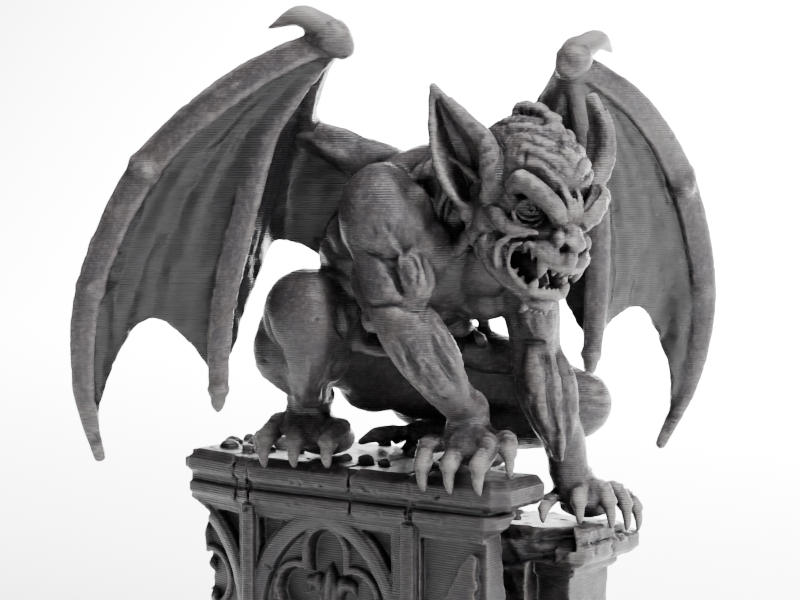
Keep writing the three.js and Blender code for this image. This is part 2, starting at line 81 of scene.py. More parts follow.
def turn_matrix(turn: Point) -> np.ndarray:
    """A rotation from turns in degrees about X, then Y, then Z."""
    x, y, z = (math.radians(angle) for angle in turn)
    about_x = np.array([[1, 0, 0], [0, math.cos(x), -math.sin(x)], [0, math.sin(x), math.cos(x)]])
    about_y = np.array([[math.cos(y), 0, math.sin(y)], [0, 1, 0], [-math.sin(y), 0, math.cos(y)]])
    about_z = np.array([[math.cos(z), -math.sin(z), 0], [math.sin(z), math.cos(z), 0], [0, 0, 1]])
    return about_z @ about_y @ about_x


def curve(points: Points, steps: int) -> np.ndarray:
    """A smooth Catmull-Rom curve through rows of numbers.

    Args:
        points: The rows that the curve passes through.
        steps: How many rows each span gives.

    Returns:
        The rows along the curve, both ends among them.
    """
    rows = np.asarray(points, float)
    ends = np.vstack([2 * rows[0] - rows[1], rows, 2 * rows[-1] - rows[-2]])
    made = []
    for i in range(len(rows) - 1):
        a, b, c, d = ends[i : i + 4]
        for t in np.linspace(0, 1, steps, endpoint=False):
            made.append(
                0.5 * (
                    2 * b + (c - a) * t + (2 * a - 5 * b + 4 * c - d) * t**2 + (3 * b - a - 3 * c + d) * t**3
                )
            )
    return np.array(made + [rows[-1]])


def gradient_noise(points: np.ndarray, size: float, seed: int) -> np.ndarray:
    """Smooth noise from about -1 to 1 at each point, with lumps about as wide as size.

    Args:
        points: Rows of X, Y and Z.
        size: How wide a lump is, in the points' units.
        seed: Picks the pattern.

    Returns:
        One value for each point.
    """
    cells = points / size
    low = np.floor(cells).astype(np.int64)
    part = cells - low
    ease = part * part * part * (part * (part * 6 - 15) + 10)
    total = np.zeros(len(points))
    for corner in range(8):
        step = np.array([corner & 1, corner >> 1 & 1, corner >> 2])
        at = low + step
        mixed = (at[:, 0] * 73856093) ^ (at[:, 1] * 19349663) ^ (at[:, 2] * 83492791) ^ (seed * 2654435761)
        mixed = (mixed ^ (mixed >> 13)) * 1274126177 & 0xFFFFFFFF
        angle = (mixed & 0xFFFF) / 65535 * 2 * math.pi
        height = (mixed >> 16 & 0xFFFF) / 65535 * 2 - 1
        level = np.sqrt(1 - height * height)
        away = part - step
        slope = away[:, 0] * np.cos(angle) * level + away[:, 1] * np.sin(angle) * level + away[:, 2] * height
        weight = np.prod(np.where(step, ease, 1 - ease), axis=1)
        total += slope * weight
    return total * 1.8


@dataclass(frozen=True)
class Place:
    """Where a group of forms stands: its own axes and origin in the clay."""

    origin: tuple[float, float, float] = (0.0, 0.0, 0.0)
    turn: tuple[float, float, float] = (0.0, 0.0, 0.0)

    @property
    def axes(self) -> np.ndarray:
        """The place's axes as the columns of a matrix."""
        return turn_matrix(self.turn)

    def put(self, points: Points) -> np.ndarray:
        """Takes rows of points from the place's own frame into the clay's."""
        return np.asarray(points, float) @ self.axes.T + np.asarray(self.origin)

    def back(self, points: Points) -> np.ndarray:
        """Takes rows of points from the clay's frame into the place's own."""
        return (np.asarray(points, float) - np.asarray(self.origin)) @ self.axes


HERE = Place()


# ---- the clay -----------------------------------------------------------------------------


class Surface(Enum):
    """What kind of surface a form leaves, which decides its roughness and fine grain, and in the material a
    painted highlight on smooth surfaces and painted shade on painted-shade ones.
    """

    SKIN = 0
    # Claws and teeth, which the material paints paler as a painted highlight.
    SMOOTH = 1
    # Wing webs and eyeballs, which the material paints nearly black as painted shade.
    PAINTED_SHADE = 2
    BROKEN = 3


@dataclass
class Clay:
    """A block of voxels that holds a signed distance in millimetres."""

    low: Point
    high: Point
    step: float
    reach: float = 3.0
    field_mm: np.ndarray = field(init=False)
    kind: np.ndarray = field(init=False)
    lines: list[np.ndarray] = field(init=False)

    def __post_init__(self) -> None:
        """Makes the empty block."""
        count = np.ceil((np.asarray(self.high) - np.asarray(self.low)) / self.step).astype(int) + 1
        self.field_mm = np.full(count, self.reach, np.float32)
        self.kind = np.zeros(count, np.uint8)
        self.lines = [
            (self.low[axis] + self.step * np.arange(count[axis])).astype(np.float32) for axis in range(3)
        ]

    def window(self, low: Point, high: Point, margin: float) -> tuple:
        """The part of the block round a box.

        Args:
            low: The box's lowest corner.
            high: The box's highest corner.
            margin: How much room to leave round it.

        Returns:
            The slices of the block, and the X, Y and Z of its voxels ready to broadcast.
        """
        part, axes = [], []
        for axis in range(3):
            size = self.field_mm.shape[axis]
            first = int((low[axis] - margin - self.low[axis]) / self.step)
            last = int((high[axis] + margin - self.low[axis]) / self.step) + 2
            first, last = min(max(first, 0), size), min(max(last, 0), size)
            part.append(slice(first, last))
            shape = [1, 1, 1]
            shape[axis] = last - first
            axes.append(self.lines[axis][first:last].reshape(shape))
        return tuple(part), axes

    def press(self, part: tuple, distance: np.ndarray, blend: float, cut: bool, kind: Surface | None) -> None:
        """Joins a form to the clay in a window, or cuts it out.

        Args:
            part: The window's slices.
            distance: The form's signed distance in the window, in mm.
            blend: How wide the fillet is where they meet.
            cut: Whether to cut the form out.
            kind: The surface it leaves, or None for no change.
        """
        old = self.field_mm[part]
        if cut:
            self.field_mm[part] = smooth_max(old, -distance, blend)
        else:
            self.field_mm[part] = smooth_min(old, distance, blend)
        if kind is not None:
            self.kind[part][np.abs(distance) < 0.45] = kind.value

    def egg(
        self,
        at: Point,
        size: Point,
        turn: Point = (0, 0, 0),
        blend: float = 1.0,
        cut: bool = False,
        place: Place = HERE,
        kind: Surface | None = None,
    ) -> None:
        """Presses in a stretched ball with the given centre, half sizes and turn.

        Args:
            at: The centre.
            size: The half sizes along its own axes.
            turn: Degrees about X, then Y, then Z.
            blend: How wide the fillet is.
            cut: Whether to cut it out.
            place: The frame that at and turn are in.
            kind: The surface it leaves.
        """
        axes = place.axes @ turn_matrix(turn)
        centre = place.put([at])[0]
        size = np.asarray(size, float)
        half = np.sqrt(((axes * size) ** 2).sum(axis=1))
        part, (x, y, z) = self.window(centre - half, centre + half, blend + 4 * self.step)
        x, y, z = x - centre[0], y - centre[1], z - centre[2]
        near, far = 0, 0
        for i in range(3):
            own = (x * axes[0, i] + y * axes[1, i] + z * axes[2, i]) / size[i]
            near = near + own * own
            far = far + (own / size[i]) ** 2
        near, far = np.sqrt(near), np.sqrt(far)
        self.press(part, near * (near - 1) / np.maximum(far, 1e-4), blend, cut, kind)

    def rope(
        self,
        points: Points,
        radii: Sequence[float],
        blend: float = 1.0,
        cut: bool = False,
        place: Place = HERE,
        kind: Surface | None = None,
        steps: int = 5,
    ) -> None:
        """Presses in a tapering rope along a smooth curve, with one radius for each point.

        Args:
            points: Where it runs.
            radii: Its radius at each point.
            blend: How wide the fillet is.
            cut: Whether to cut it out.
            place: The frame that points are in.
            kind: The surface it leaves.
            steps: How many straight lengths each span gets.
        """
        rows = curve([[*p, r] for p, r in zip(place.put(points), radii)], steps)
        middle, radius = rows[:, :3], np.maximum(rows[:, 3], 0.02)
        self.strand(middle, radius, blend, cut, kind)

    def strand(
        self, middle: np.ndarray, radius: np.ndarray, blend: float, cut: bool = False,
        kind: Surface | None = None
    ) -> None:
        """Presses in straight tapering lengths from point to point.

        Args:
            middle: The points, in the clay's frame.
            radius: The radius at each of them.
            blend: How wide the fillet is.
            cut: Whether to cut them out.
            kind: The surface they leave.
        """
        grow = radius.max()
        margin = blend + 4 * self.step
        part, (x, y, z) = self.window(middle.min(axis=0) - grow, middle.max(axis=0) + grow, margin)
        if min(x.size, y.size, z.size) == 0:
            return
        distance = np.full((x.size, y.size, z.size), self.reach, np.float32)
        for a, b, ra, rb in zip(middle[:-1], middle[1:], radius[:-1], radius[1:]):
            big = max(ra, rb)
            inner, (sx, sy, sz) = self.window(np.minimum(a, b) - big, np.maximum(a, b) + big, margin)
            local = tuple(slice(i.start - p.start, i.stop - p.start) for i, p in zip(inner, part))
            along = b - a
            length = max(float(along @ along), 1e-6)
            sx, sy, sz = sx - a[0], sy - a[1], sz - a[2]
            share = sx * along[0] + sy * along[1] + sz * along[2]
            reach = np.clip(share / length, 0, 1)
            gap = sx * sx + sy * sy + sz * sz - reach * (2 * share - reach * length)
            distance[local] = np.minimum(
                distance[local], np.sqrt(np.maximum(gap, 0)) - (ra + (rb - ra) * reach)
            )
        self.press(part, distance, blend, cut, kind)

    def web(
        self, spot: Callable[[float, float], np.ndarray], across: int, down: int, thickness: float,
        blend: float, kind: Surface | None = None
    ) -> None:
        """Presses in a curved sheet.

        Args:
            spot: Gives the sheet's middle point for two shares from 0 to 1.
            across: Number of cells along the first share.
            down: Number of cells along the second.
            thickness: The sheet's thickness.
            blend: How softly it joins the clay.
            kind: The surface that it leaves.
        """
        grid = np.array([[spot(i / across, j / down) for j in range(down + 1)] for i in range(across + 1)])
        normal = np.cross(np.gradient(grid, axis=0), np.gradient(grid, axis=1))
        normal /= np.maximum(np.linalg.norm(normal, axis=2, keepdims=True), 1e-9)
        sides = np.concatenate([grid + normal * thickness / 2, grid - normal * thickness / 2]).reshape(-1, 3)
        wide, tall = across + 1, down + 1

        def index(i: int, j: int, side: int) -> int:
            """The number of a corner of the sheet."""
            return side * wide * tall + i * tall + j

        quads = []
        for i in range(across):
            for j in range(down):
                ring = [(i, j), (i + 1, j), (i + 1, j + 1), (i, j + 1)]
                quads.append([index(*c, 0) for c in ring])
                quads.append([index(*c, 1) for c in reversed(ring)])
        rim = [(i, 0) for i in range(across)] + [(across, j) for j in range(down)]
        rim += [(i, down) for i in range(across, 0, -1)] + [(0, j) for j in range(down, 0, -1)]
        for a, b in zip(rim, rim[1:] + rim[:1]):
            quads.append([index(*b, 0), index(*a, 0), index(*a, 1), index(*b, 1)])
        self.closed_mesh(sides, np.array(quads), blend, kind)

    def closed_mesh(self, points: np.ndarray, quads: np.ndarray, blend: float, kind: Surface | None) -> None:
        """Presses in a closed mesh of quads."""
        cells = ((points - np.asarray(self.low)) / self.step).astype(np.float32)
        shape = openvdb.FloatGrid.createLevelSetFromPolygons(
            cells, triangles=None, quads=quads.astype(np.uint32),
            transform=openvdb.createLinearTransform(1.0), halfWidth=4.0
        )
        margin = blend + 4 * self.step
        part, (x, y, z) = self.window(points.min(axis=0), points.max(axis=0), margin)
        distance = np.empty((x.size, y.size, z.size), np.float32)
        shape.copyToArray(distance, ijk=tuple(int(s.start) for s in part))
        self.press(part, distance * self.step, blend, False, kind)

    def sample(self, values: np.ndarray, points: np.ndarray, scale: int = 1) -> np.ndarray:
        """Reads a block of values at points by mixing the eight voxels round each.

        Args:
            values: The block, which may be coarser than the clay.
            points: Rows of points in the clay.
            scale: How many of the clay's voxels one of the block's spans.

        Returns:
            One value for each point.
        """
        top = np.array(values.shape) - 1.001
        cells = np.clip((points - np.asarray(self.low)) / (self.step * scale), 0, top)
        low = cells.astype(int)
        part = cells - low
        total = np.zeros(len(points))
        for corner in range(8):
            step = np.array([corner & 1, corner >> 1 & 1, corner >> 2])
            weight = np.prod(np.where(step, part, 1 - part), axis=1)
            at = low + step
            total += weight * values[at[:, 0], at[:, 1], at[:, 2]]
        return total

    def slope(self, points: np.ndarray) -> np.ndarray:
        """The outward direction at points, one unit long."""
        made = np.empty_like(points)
        for axis in range(3):
            shift = np.zeros(3)
            shift[axis] = 1.5 * self.step
            made[:, axis] = self.sample(
                self.field_mm, points + shift
            ) - self.sample(self.field_mm, points - shift)
        return made / np.maximum(np.linalg.norm(made, axis=1, keepdims=True), 1e-6)

    def snap(self, points: np.ndarray, lift: float = 0.0) -> np.ndarray:
        """Moves points to the nearest surface, and then outwards by lift."""
        moved = np.array(points, float)
        for _ in range(8):
            moved -= self.slope(moved) * np.clip(self.sample(self.field_mm, moved), -0.7, 0.7)[:, None]
        return moved + self.slope(moved) * lift

    def stroke(
        self,
        points: Points,
        width: float,
        height: float,
        place: Place = HERE,
        blend: float = 0.35,
        wobble: float = 0.0,
        seed: int = 0,
        kind: Surface | None = None,
    ) -> None:
        """Lays a tapering ridge along the surface, or cuts a groove where height is below 0.

        Args:
            points: Points near the surface that the stroke follows.
            width: Its half width at the middle.
            height: How far it stands out, or below 0 how deep it cuts.
            place: The frame that the points are in.
            blend: How softly it joins the clay.
            wobble: How far it strays to the sides.
            seed: Picks the way that it strays.
            kind: The surface that it leaves.
        """
        path = curve(place.put(points), 7)
        if wobble:
            for axis in range(3):
                path[:, axis] += wobble * gradient_noise(path + 31.7 * axis, 3.0, seed)
        path = self.snap(path)
        taper = np.sin(np.linspace(0.12, math.pi - 0.12, len(path))) ** 0.6
        radius = width * taper
        offset = (abs(height) * taper - radius)[:, None] * self.slope(path)
        self.strand(path + offset if height > 0 else path - offset, radius, blend, height < 0, kind)

    def blurred(self, scale: int, radius: int) -> tuple[np.ndarray, float]:
        """A coarser copy of the distances, blurred by a box three times.

        Args:
            scale: How many voxels one cell of the copy spans.
            radius: How many cells the box reaches to each side.

        Returns:
            The copy, and how much the blur lifts a surface for each unit of its curvature, in mm.
        """
        made = np.clip(self.field_mm[::scale, ::scale, ::scale], -1.5, 1.5)
        for _ in range(3):
            for axis in range(3):
                padded = np.pad(
                    made, [(radius + 1, radius) if a == axis else (0, 0) for a in range(3)], mode="edge"
                )
                total = np.cumsum(padded, axis=axis, dtype=np.float32)
                size = made.shape[axis]
                high = np.take(total, range(2 * radius + 1, 2 * radius + 1 + size), axis=axis)
                low = np.take(total, range(0, size), axis=axis)
                made = (high - low) / (2 * radius + 1)
        spread = 3 * ((2 * radius + 1) ** 2 - 1) / 12 * (scale * self.step) ** 2 / 2
        return made, spread

    def skin(
        self, lift: Callable[[np.ndarray, np.ndarray], np.ndarray]
    ) -> tuple[np.ndarray, np.ndarray, np.ndarray]:
        """Draws one closed skin over the clay.

        Args:
            lift: Gives how far each point moves outwards, from the points and their surface kinds.

        Returns:
            The points, the triangles and the quads.
        """
        band = 3 * self.step
        grid = openvdb.FloatGrid(band)
        clipped = np.clip(self.field_mm, -band, band)
        for axis in range(3):
            clipped[tuple(slice(None) if a != axis else [0, -1] for a in range(3))] = band
        grid.copyFromArray(clipped)
        points, triangles, quads = grid.convertToPolygons(isovalue=0.0, adaptivity=0.0)
        points = points.astype(float) * self.step + np.asarray(self.low)
        cells = np.rint((points - np.asarray(self.low)) / self.step).astype(int)
        kinds = self.kind[cells[:, 0], cells[:, 1], cells[:, 2]]
        points += self.slope(points) * lift(points, kinds)[:, None]
        return points, triangles, quads


# ---- from clay to a piece -----------------------------------------------------------------


@dataclass
class Piece:
    """A finished piece: the skin of some clay, thinned to its triangle count, with the masks for its painted
    highlights and painted shade stored on it.
    """

    name: str
    node: str
    slot: str
    clay: Clay
    world: Matrix
    triangles: int
    fine: Place | None = None
    fine_reach: float = 17.0

    def build(
        self, lift: Callable[[np.ndarray, np.ndarray], np.ndarray], material: bpy.types.Material
    ) -> bpy.types.Object:
        """Makes the Blender object.

        Args:
            lift: The fine relief, as Clay.skin takes it.
            material: The finish.

        Returns:
            The object, riding on the root body.
        """
        points, triangles, quads = self.clay.skin(lift)
        rough = bpy.data.meshes.new(self.name + "_rough")
        faces = [row[::-1].tolist() for row in triangles] + [row[::-1].tolist() for row in quads]
        rough.from_pydata(points.tolist(), [], faces)
        thinned = bpy.data.objects.new(self.name + "_rough", rough)
        bpy.context.scene.collection.objects.link(thinned)
        thin = thinned.modifiers.new("thin", "DECIMATE")
        if self.fine:
            group = thinned.vertex_groups.new(name="coarse")
            away = np.linalg.norm(self.fine.back(points) - (4.0, 0.0, -2.0), axis=1)
            group.add(np.flatnonzero(away > self.fine_reach).tolist(), 1.0, "REPLACE")
            group.add(np.flatnonzero(away <= self.fine_reach).tolist(), 0.25, "REPLACE")
            thin.vertex_group = "coarse"
            thin.vertex_group_factor = 1.0
        thin.ratio = min(1.0, self.triangles / (len(triangles) + 2 * len(quads)))
        mesh = bpy.data.meshes.new_from_object(thinned.evaluated_get(bpy.context.evaluated_depsgraph_get()))
        bpy.data.objects.remove(thinned)
        bpy.data.meshes.remove(rough)
        self.keep_largest(mesh)
        self.store_shading_masks(mesh)
        mesh.transform(self.world @ Matrix.Scale(MM, 4))
        mesh.shade_smooth()
        mesh.materials.clear()
        mesh.materials.append(material)
        piece = bpy.data.objects.new(self.name, mesh)
        bpy.context.scene.collection.objects.link(piece)
        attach(piece, "root")
        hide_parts(self.node)
        LOG.info("%s: %d triangles", self.name, len(mesh.polygons))
        return piece

    @staticmethod
    def keep_largest(mesh: bpy.types.Mesh) -> None:
        """Deletes every loose crumb, so that one closed body is left."""
        edges = np.empty(len(mesh.edges) * 2, np.int32)
        mesh.edges.foreach_get("vertices", edges)
        edges = edges.reshape(-1, 2)
        label = np.arange(len(mesh.vertices))
        while True:
            lower = np.minimum(label[edges[:, 0]], label[edges[:, 1]])
            before = label.copy()
            np.minimum.at(label, edges[:, 0], lower)
            np.minimum.at(label, edges[:, 1], lower)
            label = label[label]
            if np.array_equal(before, label):
                break
        names, counts = np.unique(label, return_counts=True)
        main = names[counts.argmax()]
        if len(names) > 1:
            shape = bmesh.new()
            shape.from_mesh(mesh)
            shape.verts.ensure_lookup_table()
            bmesh.ops.delete(
                shape, geom=[shape.verts[int(i)] for i in np.flatnonzero(label != main)], context="VERTS"
            )
            shape.to_mesh(mesh)
            shape.free()

    def store_shading_masks(self, mesh: bpy.types.Mesh) -> None:
        """Stores on each vertex how sharp, how sunken and how smooth the surface is there, and whether it is
        a wing web or an eyeball: the masks from which the material paints highlights and shade.
        """
        points = np.empty(len(mesh.vertices) * 3)
        mesh.vertices.foreach_get("co", points)
        points = points.reshape(-1, 3)
        fine, fine_spread = self.clay.blurred(2, max(1, round(0.45 / self.clay.step / 2)))
        wide, _ = self.clay.blurred(4, max(1, round(2.4 / self.clay.step / 4)))
        cells = np.rint((points - np.asarray(self.clay.low)) / self.clay.step).astype(int)
        kinds = self.clay.kind[cells[:, 0], cells[:, 1], cells[:, 2]]
        # edge above 0 and smooth give painted highlights; edge below 0, hollow and web give painted shade.
        values = {
            "edge": np.clip(self.clay.sample(fine, points, 2) / fine_spread / 1.5, -1, 1),
            "hollow": np.clip(-self.clay.sample(wide, points, 4) / 0.9, -1, 1),
            "smooth": (kinds == Surface.SMOOTH.value).astype(float),
            "web": (kinds == Surface.PAINTED_SHADE.value).astype(float),
        }
        for name, value in values.items():
            layer = mesh.attributes.new(name, "FLOAT", "POINT")
            layer.data.foreach_set("value", value.astype(np.float32))


# ---- the beast ----------------------------------------------------------------------------

WALL_LOW, WALL_HIGH = (np.array(corner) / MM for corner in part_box("ruined_wall"))
SLAB_TOP = 42.0
LEDGE_TOP = 33.7
FRONT = WALL_LOW[1] + 1.0
SHOULDERS = (14.3, -11.2, SLAB_TOP)
BEAST = Place(SHOULDERS, (0, 0, -35))
BEAST_HEAD = Place((14.0, 9.0, 44.6), (-9.0, 22.0, 12.0))


def mirrored(points: Points, side: int) -> list[list[float]]:
    """Gives points of the left side (side 1) as they are, or mirrored for the right side (-1)."""
    return [[p[0], p[1] * side, p[2]] for p in points]


@dataclass
class Beast:
    """The gargoyle, in its own frame: X forward, Y to its left, Z up from the slab it squats on."""

    step: float = 0.25
    shoulder_right: Point = (0.8, -9.0, 38.4)
    shoulder_left: Point = (2.6, 12.0, 33.4)
    elbow_right: Point = (4.6, -7.7, 24.0)
    elbow_left: Point = (3.4, 14.3, 17.0)
    knee_right: Point = (-10.4, -17.0, 23.4)
    knee_left: Point = (-0.4, 23.4, 9.4)
    head: Place = BEAST_HEAD
    rng: np.random.Generator = field(default_factory=lambda: np.random.default_rng(7))
    clay: Clay = field(init=False)

    def __post_init__(self) -> None:
        """Makes the block that the beast is sculpted from."""
        self.clay = Clay((-35, -56, -13), (30, 56, 72), self.step)

    def wall(self, points: Points) -> np.ndarray:
        """Takes points of the wall's frame into the beast's."""
        return BEAST.back(points)

    # -- trunk --

    def trunk(self) -> None:
        """The pelvis, belly, chest, back and neck."""
        clay = self.clay
        clay.egg((-20.6, 3.2, 14), (7.6, 9.2, 7.4), blend=2)
        clay.rope([(-20, 3, 15), (-14, 3, 22), (-6.5, 1.6, 30)], [7.0, 6.8, 8.4], blend=2)
        clay.egg((-4.6, 1.2, 33.4), (10.4, 11.0, 10.8), (0, 28, 0), blend=2)
        clay.egg((-9.5, -8.6, 31.5), (5.8, 5.6, 9.8), (0, 28, 0), blend=1.4)
        clay.rope([(-8, -11.6, 38), (-11.5, -12.6, 32), (-12.4, -10, 25)], [1.0, 2.0, 0.8], blend=1.2)
        clay.egg((-8.2, 8.7, 30.3), (5.9, 5.2, 9.0), (0, 28, 0), blend=1.4)
        clay.rope([(-4, 1, 41.5), (3, 3.2, 43.2), (10, 7.4, 44)], [7.4, 6.1, 5.6], blend=2)
        clay.rope([(6, 3, 45.2), (-0.5, -3, 44.6), (-0.6, -8, 43.0)], [3.4, 3.5, 2.6], blend=1.2)
        clay.rope([(6, 4.6, 44.5), (0.4, 8, 42.0), (1.5, 11.5, 38)], [3.4, 3.4, 2.6], blend=1.2)
        for side, drop in ((-1, 0), (1, 1.8)):
            clay.egg((3.4, side * 5.2 + 1, 33 - drop), (4.4, 5.4, 5.4), (0, 20, 0), blend=0.7)
            clay.egg((0.6, side * 5.6 + 1.4, 27.6 - drop), (3.6, 4.2, 3.0), (0, 30, 0), blend=0.6)
            clay.egg((-21.5, side * 6 + 3.2, 12.4), (6.4, 5.4, 5.8), blend=1)
        self.ribs()
        self.spine()
        self.belly()
        self.neck_cords()

    def ribs(self) -> None:
        """Ribs and the saw-edged muscles between them, down both flanks."""
        for side in (-1, 1):
            for i in range(6):
                drop = 2.9 * i
                back = (-13.5 + 0.2 * i, side * 9 + 1.5, 38.5 - drop)
                middle = (-6.5 - 0.4 * i, side * (12.2 - 0.35 * i) + 1.2, 33.5 - drop)
                front = (1.2 - 1.3 * i, side * (8.4 - 0.4 * i) + 1.6, 28.6 - 0.8 * drop)
                self.clay.stroke([back, middle, front], 0.95, 0.5, blend=0.9)
                if i < 3:
                    self.clay.egg(
                        (front[0] - 1.4, front[1], front[2] + 1.4), (1.7, 1.2, 0.9), (0, 45, 0), blend=0.5
                    )

    def spine(self) -> None:
        """The knobs of the backbone and the long muscles beside them."""
        path = curve(
            [
                (-26, 3.4, 14), (-23.4, 3, 22), (-19.4, 2.6, 30), (-14, 1.8, 37.6), (-6.5, 1, 43.6),
                (1, 1.6, 47.4), (6.4, 4, 49.4)
            ],
            12
        )
        for side in (-1, 1):
            self.clay.rope(
                path[::12] + np.array([0.6, side * 2.9, -1.2]), [2.2, 2.6, 2.8, 3, 2.8, 2.2, 1.6], blend=0.8
            )
        for i, row in enumerate(path[4::5]):
            size = 1.25 + 0.035 * i
            self.clay.egg(row, (size * 1.15, size * 0.8, size), (0, -55 + 4 * i, 0), blend=0.5)

    def belly(self) -> None:
        """The folded belly and the cords of the groin."""
        for i in range(4):
            for side in (-1, 1):
                at = (-1.6 - 3.6 * i, 3 + side * 2.3, 24.4 - 2.9 * i)
                self.clay.egg(at, (2.2, 2.3, 1.6), (0, 38, 0), blend=0.4)
        self.clay.rope([(-12, -2, 17), (-15.5, -4, 13.5), (-19, -5.6, 11)], [1.4, 1.6, 1.2], blend=0.6)
        self.clay.rope([(-11, 7.5, 16), (-14.5, 9, 13), (-18, 10.5, 11)], [1.4, 1.6, 1.2], blend=0.6)

    def neck_cords(self) -> None:
        """Cords and folds from the jaw and the ears down to the chest."""
        cords = [
            [(8.6, 0.6, 44), (5.2, -1.6, 40.6), (4.6, -2.4, 36.6)],
            [(10.4, 3.6, 38), (7.4, 2.0, 35.6), (6.4, 0.6, 33.2)],
            [(11.2, 8, 36.8), (8.4, 6.6, 35.2), (7, 4.6, 32)],
            [(8.6, 12.4, 39.6), (6.2, 11, 37), (6, 8.6, 33.6)],
            [(6, -1.8, 46), (2.4, -5, 43.6), (1.8, -7.2, 41.8)],
        ]
        for i, cord in enumerate(cords):
            self.clay.rope(cord, [1.0, 1.2, 0.8], blend=0.7)
            self.clay.stroke([(p[0] + 0.4, p[1] + 1.3, p[2]) for p in cord], 0.35, -0.45, wobble=0.4, seed=i)
        for i in range(5):
            start = (7.4 - 1.6 * i, -2.4 - 0.6 * i, 47.4 - 0.5 * i)
            end = (8.4 - 2.2 * i, -0.8 - 1.7 * i, 41 - 0.7 * i)
            self.clay.stroke(
                [start, ((start[0] + end[0]) / 2 + 0.6, (start[1] + end[1]) / 2 - 1, 44.6 - 0.6 * i), end],
                0.32, -0.35, wobble=0.5, seed=20 + i
            )

    def tail(self) -> None:
        """A short rope of a tail that lies round the left haunch."""
        self.clay.rope(
            [(-25, 4, 12.4), (-30.6, 5.6, 6.4), (-30, 9.4, 3), (-26, 12.6, 2.2)], [3, 2, 1.4, 0.6], blend=1
        )

    # -- arms and legs --

    def fibres(
        self, start: Point, end: Point, radius: float, face: Point, spread: float, count: int, seed: int
    ) -> None:
        """Fine grooves that run along a muscle.

        Args:
            start: Middle of the muscle where the grooves start.
            end: Middle of the muscle where they end.
            radius: The muscle's radius.
            face: The direction that the grooved side looks.
            spread: How far round the muscle they reach, in degrees each way.
            count: How many grooves.
            seed: Picks the way that they stray.
        """
        start, end = np.asarray(start, float), np.asarray(end, float)
        along = (end - start) / np.linalg.norm(end - start)
        out = np.asarray(face, float) - along * (np.asarray(face, float) @ along)
        out /= np.linalg.norm(out)
        aside = np.cross(along, out)
        for i in range(count):
            angle = math.radians(spread) * (2 * (i + 0.5) / count - 1)
            lean = angle + math.radians(self.rng.uniform(-10, 10))
            share = self.rng.uniform(0.0, 0.25), self.rng.uniform(0.72, 1.0)
            rows = []
            for t in np.linspace(*share, 4):
                turn = angle + (lean - angle) * t
                rows.append(
                    start + (end - start) * t + radius * (out * math.cos(turn) + aside * math.sin(turn))
                )
            depth = self.rng.uniform(0.18, 0.5)
            self.clay.stroke(rows, 0.36, -depth, wobble=0.45, seed=seed + i, blend=0.3)

    def right_arm(self) -> None:
        """The arm that leans on the corner: shoulder ball, biceps, triceps and a corded forearm."""
        clay = self.clay
        shoulder, elbow = self.shoulder_right, self.elbow_right
        wrist = self.wall([(19.3, -10.8, 51.6)])[0]
        clay.egg(shoulder, (6.3, 6.4, 7.5), (0, 0, 0), blend=0.8)
        clay.egg((-3.4, -9.6, 37.6), (4.0, 4.4, 6.2), blend=0.6)
        clay.egg((4.2, -5.8, 37.4), (3.2, 3.6, 5.6), blend=0.5)
        clay.rope([shoulder, (1.8, -8.6, 30.4), elbow], [5.2, 4.5, 4.0], blend=0.8)
        clay.rope([(4.4, -7.4, 34.0), (6.2, -6.0, 29.8), (6.4, -6.0, 26.0)], [1.8, 3.1, 1.7], blend=0.35)
        clay.rope([(-1.6, -10.0, 33), (-0.4, -10.6, 28.6), (1.8, -9.8, 24.4)], [2.0, 2.7, 2.0], blend=0.4)
        clay.egg((1.8, -10.6, 23.4), (2.0, 1.9, 2.2), blend=0.6)
        forearm = [elbow, (6.6, -5.6, 19.4), (8.0, -2.8, 14.8), wrist]
        clay.rope(forearm, [4.0, 4.1, 3.3, 2.7], blend=0.8)
        clay.rope(
            [(3.4, -9.8, 26), (6.2, -8.8, 21.2), (8.0, -5.4, 15.6), (6.0, -0.6, 10.6)], [1.2, 2.5, 1.7, 0.6],
            blend=0.3
        )
        clay.rope(
            [(6.8, -4.6, 24), (9.2, -3.2, 19.6), (9.4, -0.8, 15.0), (6.2, 2.4, 10.2)], [1.6, 2.4, 1.6, 0.6],
            blend=0.3
        )
        clay.rope(
            [(7.4, -7.6, 24.4), (9.2, -6.4, 19.6), (9.6, -3.2, 14.6), (6.8, 1.0, 10.2)], [0.9, 1.5, 1.2, 0.5],
            blend=0.25
        )
        for i, crease in enumerate((
            [(2.0, -14.6, 34.6), (5.0, -12.6, 33.0), (6.6, -9.0, 32.6), (6.8, -6.2, 34.4)],
            [(4.4, -11.6, 33.4), (6.6, -9.0, 29.6), (7.2, -8.4, 26.4)],
            [(2.4, -12.6, 26.0), (5.6, -10.4, 25.4), (8.6, -7.0, 25.2), (9.2, -4.4, 26.2)],
            [(8.0, -9.6, 21.6), (9.6, -7.0, 17.6), (9.8, -4.2, 14.0), (8.4, -1.4, 11.4)],
            [(10.6, -5.4, 21), (11.2, -3.2, 17.0), (10.4, -1.0, 13.6)],
        )):
            clay.stroke(crease, 0.5, -0.6, wobble=0.3, seed=90 + i, blend=0.35)
        self.fibres((2.4, -9, 36.6), (3.2, -9, 32.4), 6.2, (1, -0.5, 0), 60, 6, 100)
        self.fibres((5.0, -7.0, 33.0), (6.4, -6.0, 26.6), 2.9, (1, 0, 0), 50, 3, 130)
        self.fibres((6.6, -7, 23), (8.6, -2.0, 13), 4.0, (1, -0.4, 0), 65, 6, 150)
        veins = [
            [(9.4, -8.2, 22), (10.6, -6.6, 18), (10.2, -5.6, 14.6), (11.6, -3.6, 10.6)],
            [(7.8, -10.4, 19), (9.2, -8.6, 16), (9.8, -6.4, 12.6), (10.4, -5, 9.6)],
            [(8.6, -6.6, 32.4), (8.8, -5.8, 29.4), (8.4, -6.4, 26.6)],
            [(6.9, -10.4, 36.4), (7.2, -8.8, 33), (8.2, -8.4, 30)],
        ]
        self.veins(veins, 200)

